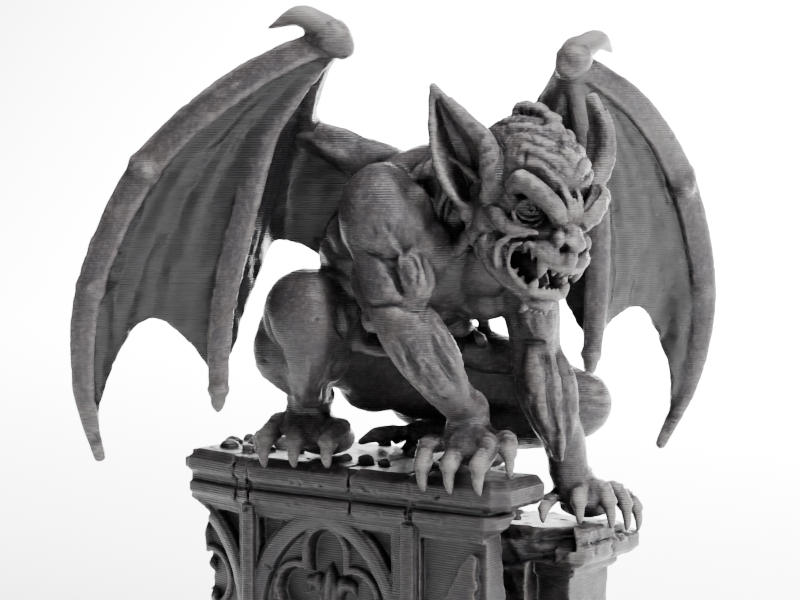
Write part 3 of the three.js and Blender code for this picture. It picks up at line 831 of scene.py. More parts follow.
    def veins(self, paths: Sequence[Points], seed: int) -> None:
        """Raised veins along the surface."""
        for i, path in enumerate(paths):
            self.clay.stroke(path, 0.4, 0.36, wobble=0.6, seed=seed + i, blend=0.3)

    def left_arm(self) -> None:
        """The arm that reaches down to the broken ledge."""
        clay = self.clay
        shoulder, elbow = self.shoulder_left, self.elbow_left
        low, palm = self.wall([(28.2, 2.0, 46.4), (27.9, 4.6, LEDGE_TOP + 6.0)])
        clay.egg(shoulder, (5.7, 5.4, 6.2), blend=0.8)
        clay.rope([shoulder, (3.4, 13.4, 25), elbow], [4.9, 4.3, 3.6], blend=1)
        clay.rope([(5.6, 12.2, 28), (6.6, 13, 23.4), (6.2, 13.8, 19)], [2, 2.9, 1.8], blend=0.5)
        clay.rope([(1, 15.4, 28), (0.4, 16.2, 23), (1.6, 16.2, 18)], [2.2, 2.8, 1.9], blend=0.5)
        clay.rope([elbow, (4.2, 15.4, 11.4), low, palm], [3.6, 3.9, 3.2, 2.6], blend=1)
        clay.rope(
            [(6.4, 12.4, 18), (7.4, 12.8, 13), (6.6, 15, 7), (5.6, 16.8, 2)], [1.3, 2.3, 1.5, 0.4], blend=0.3
        )
        clay.rope(
            [(5, 16.6, 18), (6.4, 17.6, 12.6), (6.4, 18.0, 7), (5.4, 18, 2)], [1.2, 2.1, 1.4, 0.4], blend=0.3
        )
        clay.rope(
            [(7.4, 14.8, 18), (8.2, 15.2, 12), (7.8, 16.4, 6), (6.6, 17, 2)], [0.7, 1.3, 0.9, 0.3], blend=0.25
        )
        for i, crease in enumerate((
            [(6.6, 9.4, 27.4), (8.4, 11.6, 27.0), (7.6, 15.2, 27.6)],
            [(5.2, 10.6, 20.0), (8.6, 12.6, 19.2), (8.2, 16.2, 19.8)],
            [(9.2, 13.8, 15.6), (9.6, 14.0, 11), (8.8, 15.2, 6)],
            [(8.8, 16.4, 15), (9.4, 16.6, 10), (8.6, 17.6, 5)],
        )):
            clay.stroke(crease, 0.45, -0.55, wobble=0.3, seed=290 + i, blend=0.35)
        self.fibres(shoulder, (3, 13, 28), 5.4, (1, 0.2, 0), 70, 5, 300)
        self.fibres((6.2, 12.6, 26), (6.4, 13.6, 20.4), 2.9, (1, 0, 0), 55, 3, 320)
        self.fibres((5.2, 15, 15), (5.2, 17.2, 4), 4, (1, 0, 0), 70, 5, 330)
        self.veins(
            [
                [(8.4, 14.4, 16), (8.9, 15.4, 12), (8.8, 15.8, 8), (8.4, 17, 3)],
                [(8.2, 12.4, 25), (9, 13, 22), (8.4, 14.4, 18)],
                [(7.6, 17.6, 13), (8.4, 17.4, 9), (8, 18.8, 4)],
            ],
            350,
        )

    def digit(self, root: Point, knuckle: Point, nail: Point, tip: Point, girth: float, seed: int) -> None:
        """One finger or toe in the wall's frame, with its knuckle, cuticle collar and claw.

        Args:
            root: Where it leaves the palm or sole.
            knuckle: Its raised middle joint.
            nail: Where the claw comes out.
            tip: The claw's point.
            girth: The radius of its flesh.
            seed: Picks its wrinkles.
        """
        clay = self.clay
        a, b, c, d = (self.wall([p])[0] for p in (root, knuckle, nail, tip))
        inward = (c - b) / np.linalg.norm(c - b)
        down = (d - c) / np.linalg.norm(d - c)
        up = np.array([0, 0, 1.0])
        side = np.cross(inward, up)
        side /= np.linalg.norm(side)
        clay.rope([a, b, c - 0.2 * inward], [girth * 0.8, girth * 0.92, girth * 0.86], blend=0.5)
        clay.egg(b + up * 0.25 * girth, (girth * 1.05, girth * 1.0, girth * 0.82), blend=0.4)
        clay.egg(a * 0.45 + b * 0.55, (girth * 0.8, girth * 0.8, girth * 0.8), blend=0.4)
        for i in range(3):
            middle = b + (c - b) * (0.1 + 0.24 * i) + up * girth * 0.95
            across = [
                middle - side * girth * 0.7 - up * 0.2 * girth, middle,
                middle + side * girth * 0.7 - up * 0.2 * girth
            ]
            clay.stroke(across, 0.24, -0.24, wobble=0.2, seed=seed + i, blend=0.2)
        ahead = np.cross(side, down)
        angles = np.linspace(0, 2 * math.pi, 13)[:, None]
        collar = c + 0.62 * girth * (side * np.cos(angles) + ahead * np.sin(angles))
        clay.strand(collar, np.full(13, 0.24 * girth), 0.15)
        bow = c + (d - c) * 0.45 + inward * 0.3 * girth
        clay.rope(
            [
                c - down * 0.7, c + down * 0.5 + inward * 0.1, bow, c + (d - c) * 0.8 + inward * 0.18 * girth,
                d
            ],
            [girth * 0.52, girth * 0.58, girth * 0.48, girth * 0.28, 0.1], blend=0.05, kind=Surface.SMOOTH
        )

    def right_hand(self) -> None:
        """The hand on the corner, with three claws hooked over the front edge."""
        clay = self.clay
        clay.rope(self.wall([(19.3, -10.6, 51.8), (19.7, -10.6, 48.4)]), [3.0, 3.1], blend=1)
        clay.egg(self.wall([(20.2, -10.6, 47.2)])[0], (4.0, 4.4, 2.6), (0, 12, 35), blend=1)
        clay.egg(self.wall([(20.4, -8.4, 45.4)])[0], (3.6, 4.4, 2.4), blend=1)
        for i, x in enumerate((14.9, 19.6, 24.6)):
            nail = (x, FRONT - 1.0, 43.7 + 0.35 * i)
            knuckle = (x - 0.3 * (2 - i), FRONT + 2.0, 46.2 + 0.4 * i)
            self.digit(
                (17.6 + 2.3 * i, -11.0, 47.2 + 0.3 * i), knuckle, nail,
                (x + 0.5, FRONT - 1.1, 39.8 + 0.2 * i), 1.62, 400 + 10 * i
            )
            self.tendon([(18.4 + 1.2 * i, -10.6, 50.6), (18.4 + 1.8 * i, -12.0, 48.8), knuckle], 410 + i)
        self.digit(
            (23.2, -9.2, 47.6), (26.0, -10.8, 47.6), (27.6, -12.6, 46.2), (27.9, -12.9, SLAB_TOP + 0.7), 1.5,
            440
        )

    def tendon(self, points: Points, seed: int) -> None:
        """A cord on the back of a hand or foot, in the wall's frame."""
        self.clay.stroke(self.wall(points), 0.5, 0.34, blend=0.5, wobble=0.2, seed=seed)

    def left_hand(self) -> None:
        """The hand on the ledge, its fingers over the right-hand edge."""
        clay = self.clay
        top = LEDGE_TOP
        clay.rope(self.wall([(28.0, 3.4, top + 8), (28.4, 5.4, top + 5)]), [2.7, 3.0], blend=1)
        clay.egg(self.wall([(28.8, 6.8, top + 4.2)])[0], (3.6, 4.8, 2.4), (0, 8, 60), blend=1)
        clay.egg(self.wall([(28.4, 8.6, top + 2.4)])[0], (3.4, 4.4, 2.2), blend=1)
        self.digit(
            (26.4, 4.4, top + 4.6), (26.0, 1.4, top + 3.6), (26.3, -0.8, top + 2.6), (26.6, -1.2, top + 0.5),
            1.1, 500
        )
        self.digit(
            (28.6, 4.6, top + 4.6), (30.2, 3.0, top + 5.0), (31.0, 1.6, top + 3.8), (31.2, 1.6, top + 0.45),
            1.5, 510
        )
        self.digit(
            (29.6, 6.2, top + 4.8), (32.0, 6.4, top + 5.0), (33.6, 6.0, top + 3.4), (34.1, 5.8, top - 0.6),
            1.55, 520
        )
        self.digit(
            (29.8, 8.4, top + 4.2), (32.4, 10.2, top + 4.4), (33.9, 10.6, top + 2.4), (34.3, 10.2, top - 1.6),
            1.45, 530
        )
        self.digit(
            (29.4, 10.4, top + 3.4), (32.2, 13.4, top + 3.2), (33.9, 14.2, top + 1.4),
            (34.3, 13.6, top - 2.2), 1.3, 540
        )
        for i, end in enumerate([(30.2, 3.0, top + 5.0), (32.0, 6.4, top + 5.0), (32.4, 10.2, top + 4.4)]):
            self.tendon([(28.4, 3.8, top + 7.4), (29.4, 4.8 + 1.2 * i, top + 6.4), end], 560 + i)

    def right_leg(self) -> None:
        """The raised leg: thigh, round knee, calf bulges and the foot on the slab."""
        clay = self.clay
        knee = np.asarray(self.knee_right)
        ankle = self.wall([(-9.8, -10.4, 51.6)])[0]
        clay.rope([(-20, -1, 15), (-16, -10, 18.5), knee + (-1.2, 1.4, -0.6)], [7.0, 6.6, 6.3], blend=1.6)
        clay.egg(knee, (6.7, 6.4, 6.8), (0, 0, 20), blend=1.2)
        clay.rope([knee + (1.4, 0.4, -2), knee + (-0.4, 0.4, -8), ankle], [5.0, 3.6, 2.8], blend=0.8)
        clay.rope(
            [knee + (1.0, 4.4, -3.2), knee + (-0.4, 4.0, -7.2), knee + (-3.2, 2.4, -11.6)], [2.0, 2.8, 0.8],
            blend=0.3
        )
        clay.rope(
            [knee + (-3.0, -4.4, -2.0), knee + (-3.8, -3.9, -7), knee + (-5.2, -1.2, -12)], [2.2, 3.0, 0.8],
            blend=0.3
        )
        clay.rope(
            [knee + (2.0, 4.9, 4.0), knee + (2.8, 5.6, 0.6), knee + (2.0, 4.8, -3.4)], [1.2, 1.8, 1.0],
            blend=0.3
        )
        clay.rope(
            [knee + (4.4, 3.4, 1.6), knee + (4.6, 4.0, -1.2), knee + (3.0, 3.6, -4)], [0.7, 1.2, 0.7],
            blend=0.3
        )
        clay.rope([knee + (-4.6, 5.6, 3.8), (-14, -6.4, 24.4), (-18, -3, 20)], [2.8, 3.0, 2.4], blend=0.7)
        clay.egg(ankle + (0, 2.4, 0.2), (1.5, 1.3, 1.7), blend=0.6)
        clay.egg(ankle + (-0.6, -2.5, 0), (1.5, 1.3, 1.7), blend=0.6)
        self.fibres(knee + (1.6, 0.4, -6), ankle + (0.4, 0, 1), 3.6, (1, -0.2, 0), 60, 4, 620)
        folds = [
            [knee + (5.2, 3.6, 3.4), knee + (6.4, 3.4, 0.4), knee + (5.0, 4.2, -2.6)],
            [knee + (6.4, 2.0, 0.4), knee + (6.2, 3.4, -1.8), knee + (4.2, 4.8, -4)],
            [
                knee + (0.6, -6.0, 0.4), knee + (0.8, -5.6, -4), knee + (0.4, -3.2, -9),
                knee + (-0.4, -2.2, -12)
            ],
            [knee + (3.6, 2.4, -5), knee + (2.8, 1.8, -9), knee + (0.4, 1.0, -12.6)]
        ]
        for i, fold in enumerate(folds):
            clay.stroke(fold, 0.45, -0.6, wobble=0.3, seed=640 + i, blend=0.35)
        self.veins([[knee + (5.6, -2, -4), knee + (4.2, -1.4, -8), knee + (3, -0.4, -12)]], 650)
        self.foot_right(ankle)

    def foot_right(self, ankle: np.ndarray) -> None:
        """The right foot, three toes over the front edge and a small one on the slab."""
        clay = self.clay
        clay.rope([ankle, self.wall([(-9.9, -10.8, 48.4)])[0]], [2.9, 3.3], blend=1.2)
        clay.egg(self.wall([(-9.6, -10.8, 46.9)])[0], (4.4, 4.8, 3.0), (0, 10, 35), blend=1.2)
        clay.egg(self.wall([(-9.6, -7.4, 45)])[0], (4.2, 4.6, 2.8), blend=1.2)
        clay.egg(self.wall([(-9.4, -4.8, 44.6)])[0], (2.6, 3.2, 2.4), blend=1)
        for i, x in enumerate((-14.6, -8.8, -2.5)):
            nail = (x, FRONT - 0.7, 45.3 + 0.2 * i)
            knuckle = (x + 0.3 * (1 - i), FRONT + 2.6, 47.2)
            self.digit(
                (-12.6 + 3.2 * i, -10.4, 47.6), knuckle, nail, (x + 0.3, FRONT - 1.0, 40.9 + 0.45 * i), 1.85,
                700 + 10 * i
            )
            self.tendon([(-10.6 + 0.8 * i, -11.0, 51), (-11.2 + 1.6 * i, -11.8, 49.2), knuckle], 740 + i)
        self.digit(
            (-13.2, -8.6, 47), (-16.4, -11.4, 46.2), (-17.6, -13.6, 44.9), (-17.5, -13.9, SLAB_TOP + 0.5),
            1.3, 730
        )

    def left_leg(self) -> None:
        """The folded leg that kneels behind the left arm."""
        clay = self.clay
        knee = np.asarray(self.knee_left)
        clay.rope([(-20.5, 6, 12.5), (-11, 16, 12.4), knee + (-1, -0.6, 0)], [7.2, 6.3, 4.8], blend=1.6)
        clay.egg(knee, (4.9, 4.7, 4.7), blend=1.2)
        clay.egg(knee + (2.0, 0.6, 1.0), (2.6, 2.8, 2.6), blend=0.6)
        clay.rope([knee + (-0.5, -0.6, -1.4), (-9, 18.4, 6.0), (-20, 11, 3.4)], [4.0, 4.6, 2.6], blend=1)
        clay.rope([knee + (-2, -3, 3), (-9, 11, 17), (-17, 5, 18)], [2.4, 3.4, 3.0], blend=0.7)
        clay.rope([(-20, 11, 3.4), (-24.5, 6.4, 2.6)], [2.6, 2.1], blend=1)
        for i in range(4):
            start = (-24 - 0.6 * i, 8.6 - 2.2 * i, 2.6)
            clay.rope(
                [start, (-26.6, 7.4 - 2.6 * i, 2.2), (-28.4, 6.8 - 3 * i, 1.0)], [1.3, 1.2, 0.7], blend=0.5
            )
        self.fibres((-14, 12, 15), knee + (-2, -1, 2.5), 6, (0.6, 0, 1), 80, 9, 800)
        self.fibres(knee + (-2, 0, -1), (-16, 13.6, 4), 4.4, (0.5, 0.8, -0.2), 70, 7, 820)
        for i in range(3):
            clay.stroke(
                [
                    knee + (4.2, -2.6 + 0.4 * i, 2.6 - 1.5 * i), knee + (5.0, 0.4, 2.0 - 1.6 * i),
                    knee + (3.6, 3.4, 2.2 - 1.5 * i)
                ],
                0.35, -0.35, wobble=0.4, seed=840 + i
            )

    # -- wings --

    def wing(self, side: int) -> None:
        """One wing: a corded arm, knobbed fingers, a thumb claw and two wrinkled webs.

        Args:
            side: 1 for the left wing, which hangs a little lower, or -1 for the right one.
        """
        clay = self.clay
        place = Place((0, 0, -2.6 if side > 0 else 0))
        share = 0.88 if side > 0 else 1.0

        def own(points: Points) -> np.ndarray:
            """Takes points of a left wing into the clay on this side."""
            return place.put(mirrored(points, side))

        root, elbow, wrist = own([(-6, 7, 45.5), (-12.5, 16.5, 51), (6.5, 18.5, 63.5)])
        leading = own(
            [
                (6.0, 19.0, 63.2), (2, 31, 56.8), (-5, 42.4, 45.4), (-10.5, 49.4, 28.5), (-15, 49.9, 14),
                (-19.3, 46.6, 2.0)
            ]
        )
        second = own([(5, 19, 61.5), (-2, 25, 51), (-5, 28.5, 37.5), (-9, 30.5, 24), (-11, 30.5, 12)])
        second = second[0] + (second - second[0]) * share
        flank = own([(-13.4, 13.6, 31.6)])[0]
        self.webs(side, root, elbow, leading, second, flank)
        clay.rope(
            [own([(-2, 2, 41)])[0], root, own([(-9.5, 12, 48)])[0], elbow], [4.6, 3.4, 2.5, 2.1], blend=1
        )
        clay.rope([elbow, own([(-4, 19.2, 56)])[0], wrist], [2.0, 1.8, 2.0], blend=0.8)
        self.bundle([root, own([(-9.6, 12, 48)])[0], elbow], 2.3, 4, 1.1)
        self.bundle([elbow, own([(-4, 19.2, 56)])[0], wrist], 1.7, 5, 0.8)
        clay.egg(elbow, (2.6, 2.3, 2.4), blend=0.8)
        for x, y, z, size in (
            (7.0, 18.6, 63.6, 2.7), (5.4, 19.8, 64.8, 2.4), (7.4, 17.4, 62.2, 1.9), (5.0, 19.4, 61.6, 2.0)
        ):
            clay.egg(own([(x, y, z)])[0], (size, size, size * 0.95), blend=0.6)
        self.spar(leading, [1.75, 2.05, 2.1, 1.9, 1.5, 0.8], 0.75)
        self.spar(second, [1.3, 1.7, 1.85, 1.75, 1.35], 0.6)
        last = second[-1] - second[-2]
        last /= np.linalg.norm(last)
        clay.egg(second[-1] - last * 0.6, (1.75, 1.75, 1.3), blend=0.3)
        clay.rope(
            [second[-1], second[-1] + last * 1.6, second[-1] + last * 2.6], [1.3, 1.05, 0.5], blend=0.1,
            kind=Surface.SMOOTH
        )
        clay.rope(
            own([(6.2, 19.6, 65.0), (5.6, 23.0, 66.5), (3.0, 26.6, 64.9)]), [1.9, 1.5, 0.25], blend=0.4,
            kind=Surface.SMOOTH
        )
        for joint, size in ((leading[2], 2.0), (leading[3], 1.6)):
            for _ in range(7):
                shift = self.rng.normal(size=3)
                shift *= size * 0.85 / np.linalg.norm(shift)
                clay.egg(joint + shift, np.full(3, size * self.rng.uniform(0.45, 0.75)), blend=0.5)
            clay.egg(joint, (size * 1.15, size * 1.15, size * 1.25), blend=0.6)

    def bundle(self, points: Sequence[np.ndarray], radius: float, count: int, thick: float) -> None:
        """Stringy muscles that twist round a bone.

        Args:
            points: The bone's points.
            radius: How far the muscles lie from it.
            count: How many there are.
            thick: The radius of each.
        """
        rows = curve(points, 5)
        along = np.gradient(rows, axis=0)
        along /= np.linalg.norm(along, axis=1, keepdims=True)
        aside = np.cross(along, (0.1, 0.2, 1.0))
        aside /= np.linalg.norm(aside, axis=1, keepdims=True)
        upward = np.cross(aside, along)
        share = np.linspace(0, 1, len(rows))[:, None]
        for i in range(count):
            turn = 2 * math.pi * i / count + 1.1 * share + self.rng.uniform(-0.3, 0.3)
            swell = 0.55 + 0.45 * np.sin(math.pi * np.clip(share * 1.05, 0, 1))
            path = rows + radius * swell * (aside * np.cos(turn) + upward * np.sin(turn))
            self.clay.strand(path, (thick * swell)[:, 0], 0.35)

    def spar(self, points: np.ndarray, radii: Sequence[float], edge: float) -> None:
        """A finger of the wing: flat in front, with a ridge along each side and a rope behind.

        Args:
            points: Its joints.
            radii: Its radius at each joint.
            edge: How deep the groove along its face is.
        """
        rows = curve([[*p, r] for p, r in zip(points, radii)], 6)
        middle, radius = rows[:, :3], rows[:, 3]
        along = np.gradient(middle, axis=0)
        along /= np.linalg.norm(along, axis=1, keepdims=True)
        front = np.array([0.94, -0.25, 0.2]) - along * (along @ np.array([0.94, -0.25, 0.2]))[:, None]
        front /= np.linalg.norm(front, axis=1, keepdims=True)
        aside = np.cross(front, along)
        self.clay.strand(middle, radius * 0.86, 0.5)
        for sign in (-1, 1):
            path = middle + aside * (sign * radius * 0.66)[:, None] + front * (radius * 0.3)[:, None]
            self.clay.strand(path, radius * 0.42, 0.25)
        self.clay.strand(middle - front * (radius * 0.6)[:, None], radius * 0.7, 0.4)
        groove = middle + front * (radius * 1.02)[:, None]
        self.clay.strand(groove, np.full(len(rows), 0.22 * edge), 0.3, cut=True)

    def webs(
        self, side: int, root: np.ndarray, elbow: np.ndarray, leading: np.ndarray, second: np.ndarray,
        flank: np.ndarray
    ) -> None:
        """The two webs of one wing, hung between its fingers with scalloped lower edges.

        Args:
            side: 1 for the left wing or -1 for the right one.
            root: Where the wing leaves the back.
            elbow: Its elbow.
            leading: The joints of the leading finger.
            second: The joints of the second finger.
            flank: Where the inner web meets the flank.
        """
        lead, inner = curve(leading, 24), curve(second, 24)
        knuckle = second[0]
        arm = curve([knuckle, (elbow + knuckle) / 2 + (0.5, 0, 1.0), elbow, root], 24)

        def along(rows: np.ndarray, share: float) -> np.ndarray:
            """The point at a share of a curve's rows."""
            at = np.clip(share, 0, 1) * (len(rows) - 1)
            low = min(int(at), len(rows) - 2)
            return rows[low] + (rows[low + 1] - rows[low]) * (at - low)

        seed = 50 if side > 0 else 60

        def ripple(u: float, v: float) -> float:
            """Long furrows that fan out from the wrist, and small puckers across them."""
            fan = gradient_noise(np.array([[u * 7.0, v * 1.6, seed]]), 1.0, seed)[0]
            fine = gradient_noise(np.array([[u * 16.0, v * 9.0, seed]]), 1.0, seed + 1)[0]
            calm = min(1.0, 6 * u * (1 - u) * 1.6)
            return (0.85 * fan + 0.28 * fine) * calm

        def scallop(u: float, depth: float, lean: float = 1.0) -> float:
            """How much shorter the web is between its two fingers."""
            return 1 - depth * math.sin(math.pi * u**lean)

        def outer(u: float, v: float) -> np.ndarray:
            """The outer web, from the leading finger to the second."""
            reach = 0.95 * (0.05 + 0.95 * v) * scallop(u, 0.25 * v)
            at = along(lead, reach) * (1 - u) + along(inner, reach) * u
            belly = 3.2 * math.sin(math.pi * u) * v
            return at + np.array([-belly + ripple(u, v), 0, 0])

        def inside(u: float, v: float) -> np.ndarray:
            """The inner web, from the second finger to the flank."""
            fall = v * scallop(u, 0.34 * v, 1.5)
            low = along(inner, 0.95 * fall)
            side_point = root + (flank - root) * fall
            top = along(arm, u) - (knuckle + (root - knuckle) * u)
            at = low * (1 - u) + side_point * u + top * (1 - fall)
            return at + np.array([-2.2 * math.sin(math.pi * u) * v + ripple(u, v + 3), 0, 0])

        count = 70
        # Both webs are marked for painted shade: the material paints them nearly black.
        self.clay.web(outer, count, count + 10, 1.05, 0.5, kind=Surface.PAINTED_SHADE)
        self.clay.web(inside, count, count, 1.05, 0.5, kind=Surface.PAINTED_SHADE)

    # -- head --

    def skull(self) -> None:
        """The big masses of the head."""
        clay, head = self.clay, self.head
        clay.egg((-1.0, 0, 0.3), (8.6, 7.9, 7.3), place=head, blend=1.5)
        clay.egg((3.6, 0, 1.4), (5.2, 6.0, 4.8), place=head, blend=1.5)
        clay.rope([(2, 0, -4.6), (8.0, 0, -5.4), (11.2, 0, -6.6)], [5.2, 4.0, 2.9], place=head, blend=1.2)
        clay.rope([(-2, 0, -6), (3.6, 0, -11.2), (9.6, 0, -13.9)], [6.0, 4.5, 2.3], place=head, blend=1.2)
        for side in (-1, 1):
            clay.egg((3.0, side * 5.6, -3.0), (3.2, 2.0, 3.2), place=head, blend=1)
            clay.rope(
                mirrored([(-1.4, 6.2, -5.0), (1.6, 6.2, -9.4), (6, 4.8, -12.4), (10.2, 2.4, -13.8)], side),
                [2.0, 2.1, 1.8, 1.5], place=head, blend=0.9
            )
            clay.rope(
                mirrored([(0.6, 6.3, -5.0), (3.2, 6.3, -8.6), (6.4, 5.4, -11.6)], side), [1.9, 2.2, 1.3],
                place=head, blend=0.6
            )
            clay.egg((11.9, side * 2.3, -7.3), (2.6, 2.4, 1.9), place=head, blend=0.5)

    def mouth(self) -> None:
        """The wide, snarling mouth: hollow, lips, fangs, teeth and tongue."""
        clay, head = self.clay, self.head
        clay.egg((8.6, 0, -10.5), (6.4, 4.6, 2.9), place=head, cut=True, blend=0.4, kind=Surface.BROKEN)
        for side in (-1, 1):
            opening = [(9.0, 6.4, -9.4), (11.0, 5.0, -9.9), (13.2, 3.2, -10.7), (15.4, 0, -10.9)]
            clay.rope(mirrored(opening, side), [1.6, 2.4, 2.15, 1.95], place=head, cut=True, blend=0.3)
            upper = [
                (8.0, 5.5, -9.8), (8.5, 5.4, -8.0), (10.2, 4.9, -7.0), (11.9, 4.0, -7.6), (13.3, 2.7, -8.5),
                (14.2, 0.9, -8.6), (14.2, 0, -8.4)
            ]
            lower = [
                (8.1, 5.5, -9.8), (8.6, 5.2, -11.5), (10.2, 4.2, -12.7), (11.8, 2.7, -13.4),
                (12.6, 1.2, -13.4), (12.7, 0, -13.3)
            ]
            clay.rope(
                mirrored(upper, side), [0.36, 0.38, 0.42, 0.5, 0.62, 0.66, 0.66], place=head, blend=0.25
            )
            clay.rope(mirrored(lower, side), [0.36, 0.42, 0.5, 0.66, 0.75, 0.75], place=head, blend=0.25)
            self.tooth((12.7, side * 3.2, -7.9), (13.0, side * 3.1, -11.0), 1.0)
            self.tooth((12.0, side * 2.7, -13.2), (12.3, side * 2.9, -11.0), 0.8)
            self.tooth((11.2, side * 4.1, -7.5), (11.3, side * 4.0, -9.1), 0.55)
            self.tooth((9.8, side * 4.7, -7.3), (9.9, side * 4.5, -8.7), 0.46)
            self.tooth((10.3, side * 3.7, -12.8), (10.4, side * 3.6, -11.7), 0.46)
            self.tooth((9.2, side * 4.4, -12.0), (9.4, side * 4.2, -11.0), 0.4)
            self.tooth((13.6, side * 1.5, -9.0), (13.6, side * 1.5, -10.2), 0.46)
            self.tooth((12.5, side * 1.25, -13.0), (12.6, side * 1.25, -12.0), 0.42)
            self.tooth((12.7, side * 0.42, -13.0), (12.8, side * 0.42, -12.1), 0.4)
        self.tooth((13.9, 0.5, -9.0), (14.0, 0.5, -10.0), 0.42)
        self.tooth((13.9, -0.5, -9.0), (14.0, -0.5, -10.0), 0.42)
        clay.rope([(4, 0, -12.4), (8.4, 0, -12.0), (10.8, 0, -12.5)], [1.6, 1.5, 0.8], place=head, blend=0.4)

    def tooth(self, root: Point, tip: Point, thick: float) -> None:
        """A pointed tooth in the head's frame."""
        middle = [(a + b) / 2 + (0.12 if i == 0 else 0) for i, (a, b) in enumerate(zip(root, tip))]
        self.clay.rope(
            [root, middle, tip], [thick, thick * 0.72, 0.1], place=self.head, blend=0.12, kind=Surface.SMOOTH
        )

    def face(self) -> None:
        """Nose, brows, eyes, cheeks and chin."""
        clay, head = self.clay, self.head
        clay.rope([(9.2, 0, -3.0), (11.4, 0, -3.6), (13.0, 0, -4.4)], [1.7, 1.5, 1.4], place=head, blend=0.6)
        clay.egg((13.6, 0, -4.9), (1.5, 2.0, 1.25), place=head, blend=0.4)
        clay.egg((13.5, 0, -7.2), (1.5, 1.3, 1.5), place=head, blend=0.35)
        for side in (-1, 1):
            clay.egg((12.7, side * 2.2, -5.1), (1.6, 0.95, 1.5), (0, 14, side * 14), place=head, blend=0.3)
            clay.egg(
                (14.0, side * 1.55, -5.75), (1.1, 0.62, 0.78), (0, 20, side * 20), place=head, cut=True,
                blend=0.25
            )
            self.eye(side)
            brow = [(5.2, 6.6, -0.9), (6.6, 6.6, 0.5), (9.2, 5.3, 0.2), (11.0, 3.5, -1.0), (11.6, 2.3, -2.3)]
            clay.rope(mirrored(brow, side), [1.35, 1.6, 1.55, 1.5, 1.3], place=head, blend=0.12)
            for i, at in enumerate(((7.0, 7.6, 1.2), (8.9, 6.4, 1.0), (10.6, 4.8, 0.0), (11.8, 3.6, -1.6))):
                clay.egg((at[0], side * at[1], at[2]), (0.9, 0.9, 0.6 + 0.1 * (i % 2)), place=head, blend=0.5)
            cheek = [(1.2, 7.0, -4.4), (4.4, 6.7, -5.9), (7.4, 5.9, -6.3), (10.2, 4.2, -5.6)]
            clay.rope(mirrored(cheek, side), [0.9, 1.35, 1.1, 0.5], place=head, blend=0.3)
            clay.rope(
                mirrored([(9.6, 5.0, -6.4), (7.8, 6.2, -7.4), (6.6, 6.7, -9.4), (7.2, 6.3, -12.0)], side),
                [0.4, 0.5, 0.5, 0.35], place=head, blend=0.3
            )
            clay.stroke(
                mirrored([(11.4, 3.6, -5.4), (9.4, 5.2, -7.0), (7.0, 6.4, -7.6), (6.2, 6.6, -9.8)], side),
                0.42, -0.6, place=head, seed=900
            )
            clay.stroke(
                mirrored([(4.4, 7.2, -8.4), (5.2, 6.8, -9.6), (5.8, 6.4, -11.2), (7.4, 5.6, -12.8)], side),
                0.4, -0.4, place=head, seed=901
            )
            clay.stroke(
                mirrored(
                    [(3.6, 6.9, 1.0), (6.0, 6.4, 2.1), (8.8, 4.8, 1.8), (10.6, 2.8, 0.2), (11.2, 1.8, -1.2)],
                    side
                ),
                0.5, -0.6, place=head, seed=902
            )
            self.face_wrinkles(side)
        for i, y in enumerate((-0.95, 0.0, 0.95)):
            clay.rope(
                [(10.6, y * 1.1, 0.2), (11.5, y, -1.2), (11.7, y * 0.85, -2.8)], [0.4, 0.62, 0.5], place=head,
                blend=0.12
            )
            clay.stroke(
                [
                    (11.8, y * 2 - 0.5, -3.0 - 0.3 * i), (12.8, y * 1.2, -3.2 - 0.3 * i),
                    (12.0, y * 2 + 0.6, -3.7 - 0.2 * i)
                ],
                0.3, 0.26, place=head, seed=910 + i
            )
        clay.egg((11.2, 0, -15.0), (1.9, 2.3, 1.2), place=head, blend=0.5)
        for i, y in enumerate((-1.9, -0.9, 0.2, 1.2, 2.1)):
            clay.rope(
                [
                    (10.8, y, -15.2), (11.1 - 0.1 * i, y * 1.05, -16.2),
                    (10.8, y * 1.1, -17.0 + 0.25 * (i % 2))
                ],
                [0.6, 0.5, 0.25], place=head, blend=0.25
            )

    def eye(self, side: int) -> None:
        """A deep-set eye with lids, a ringed iris and a drilled pupil."""
        clay, head = self.clay, self.head
        centre = np.array([7.2, side * 4.2, -3.0])
        clay.egg(
            centre + (1.9, side * 0.8, 0.1), (3.0, 3.0, 2.3), (0, 0, side * 25), place=head, cut=True,
            blend=0.3
        )
        # The eyeball is marked for painted shade: the material paints it nearly black.
        clay.egg(centre, (1.9, 1.9, 1.9), place=head, blend=0.05, kind=Surface.PAINTED_SHADE)
        gaze = np.array([0.83, side * 0.5, 0.22])
        gaze /= np.linalg.norm(gaze)
        aside = np.cross(gaze, (0, 0, 1.0)) * -side
        aside /= np.linalg.norm(aside)
        upward = np.cross(gaze, aside) * (1 if np.cross(gaze, aside)[2] > 0 else -1)

        def arc(wide: float, tall: float, first: float, last: float, lift: float, droop: float = 0.0) -> list:
            """Points on the eyeball along part of an oval round the gaze."""
            rows = []
            for angle in np.linspace(math.radians(first), math.radians(last), 13):
                x, z = wide * math.cos(angle), tall * math.sin(angle) + droop * math.cos(angle)
                ahead = math.sqrt(max(1.9**2 - x * x - z * z, 0.05)) + lift
                rows.append(centre + gaze * ahead + aside * x + upward * z)
            return rows

        clay.strand(head.put(arc(1.0, 1.0, 0, 360, 0.05)), np.full(13, 0.26), 0.05, cut=True)
        clay.egg(centre + gaze * 1.95, (0.6, 0.46, 0.46), place=head, cut=True, blend=0.05)
        clay.rope(arc(1.8, 1.45, 180, 360, 0.25, -0.2), np.full(13, 0.34), place=head, blend=0.08, steps=1)
        clay.rope(arc(1.8, 1.25, 0, 180, 0.25, -0.2), np.full(13, 0.36), place=head, blend=0.08, steps=1)
        clay.rope(
            arc(2.4, 2.5, 200, 340, 0.6, -0.2), 0.45 * np.sin(np.linspace(0.5, 2.64, 13)), place=head,
            blend=0.1, steps=1
        )

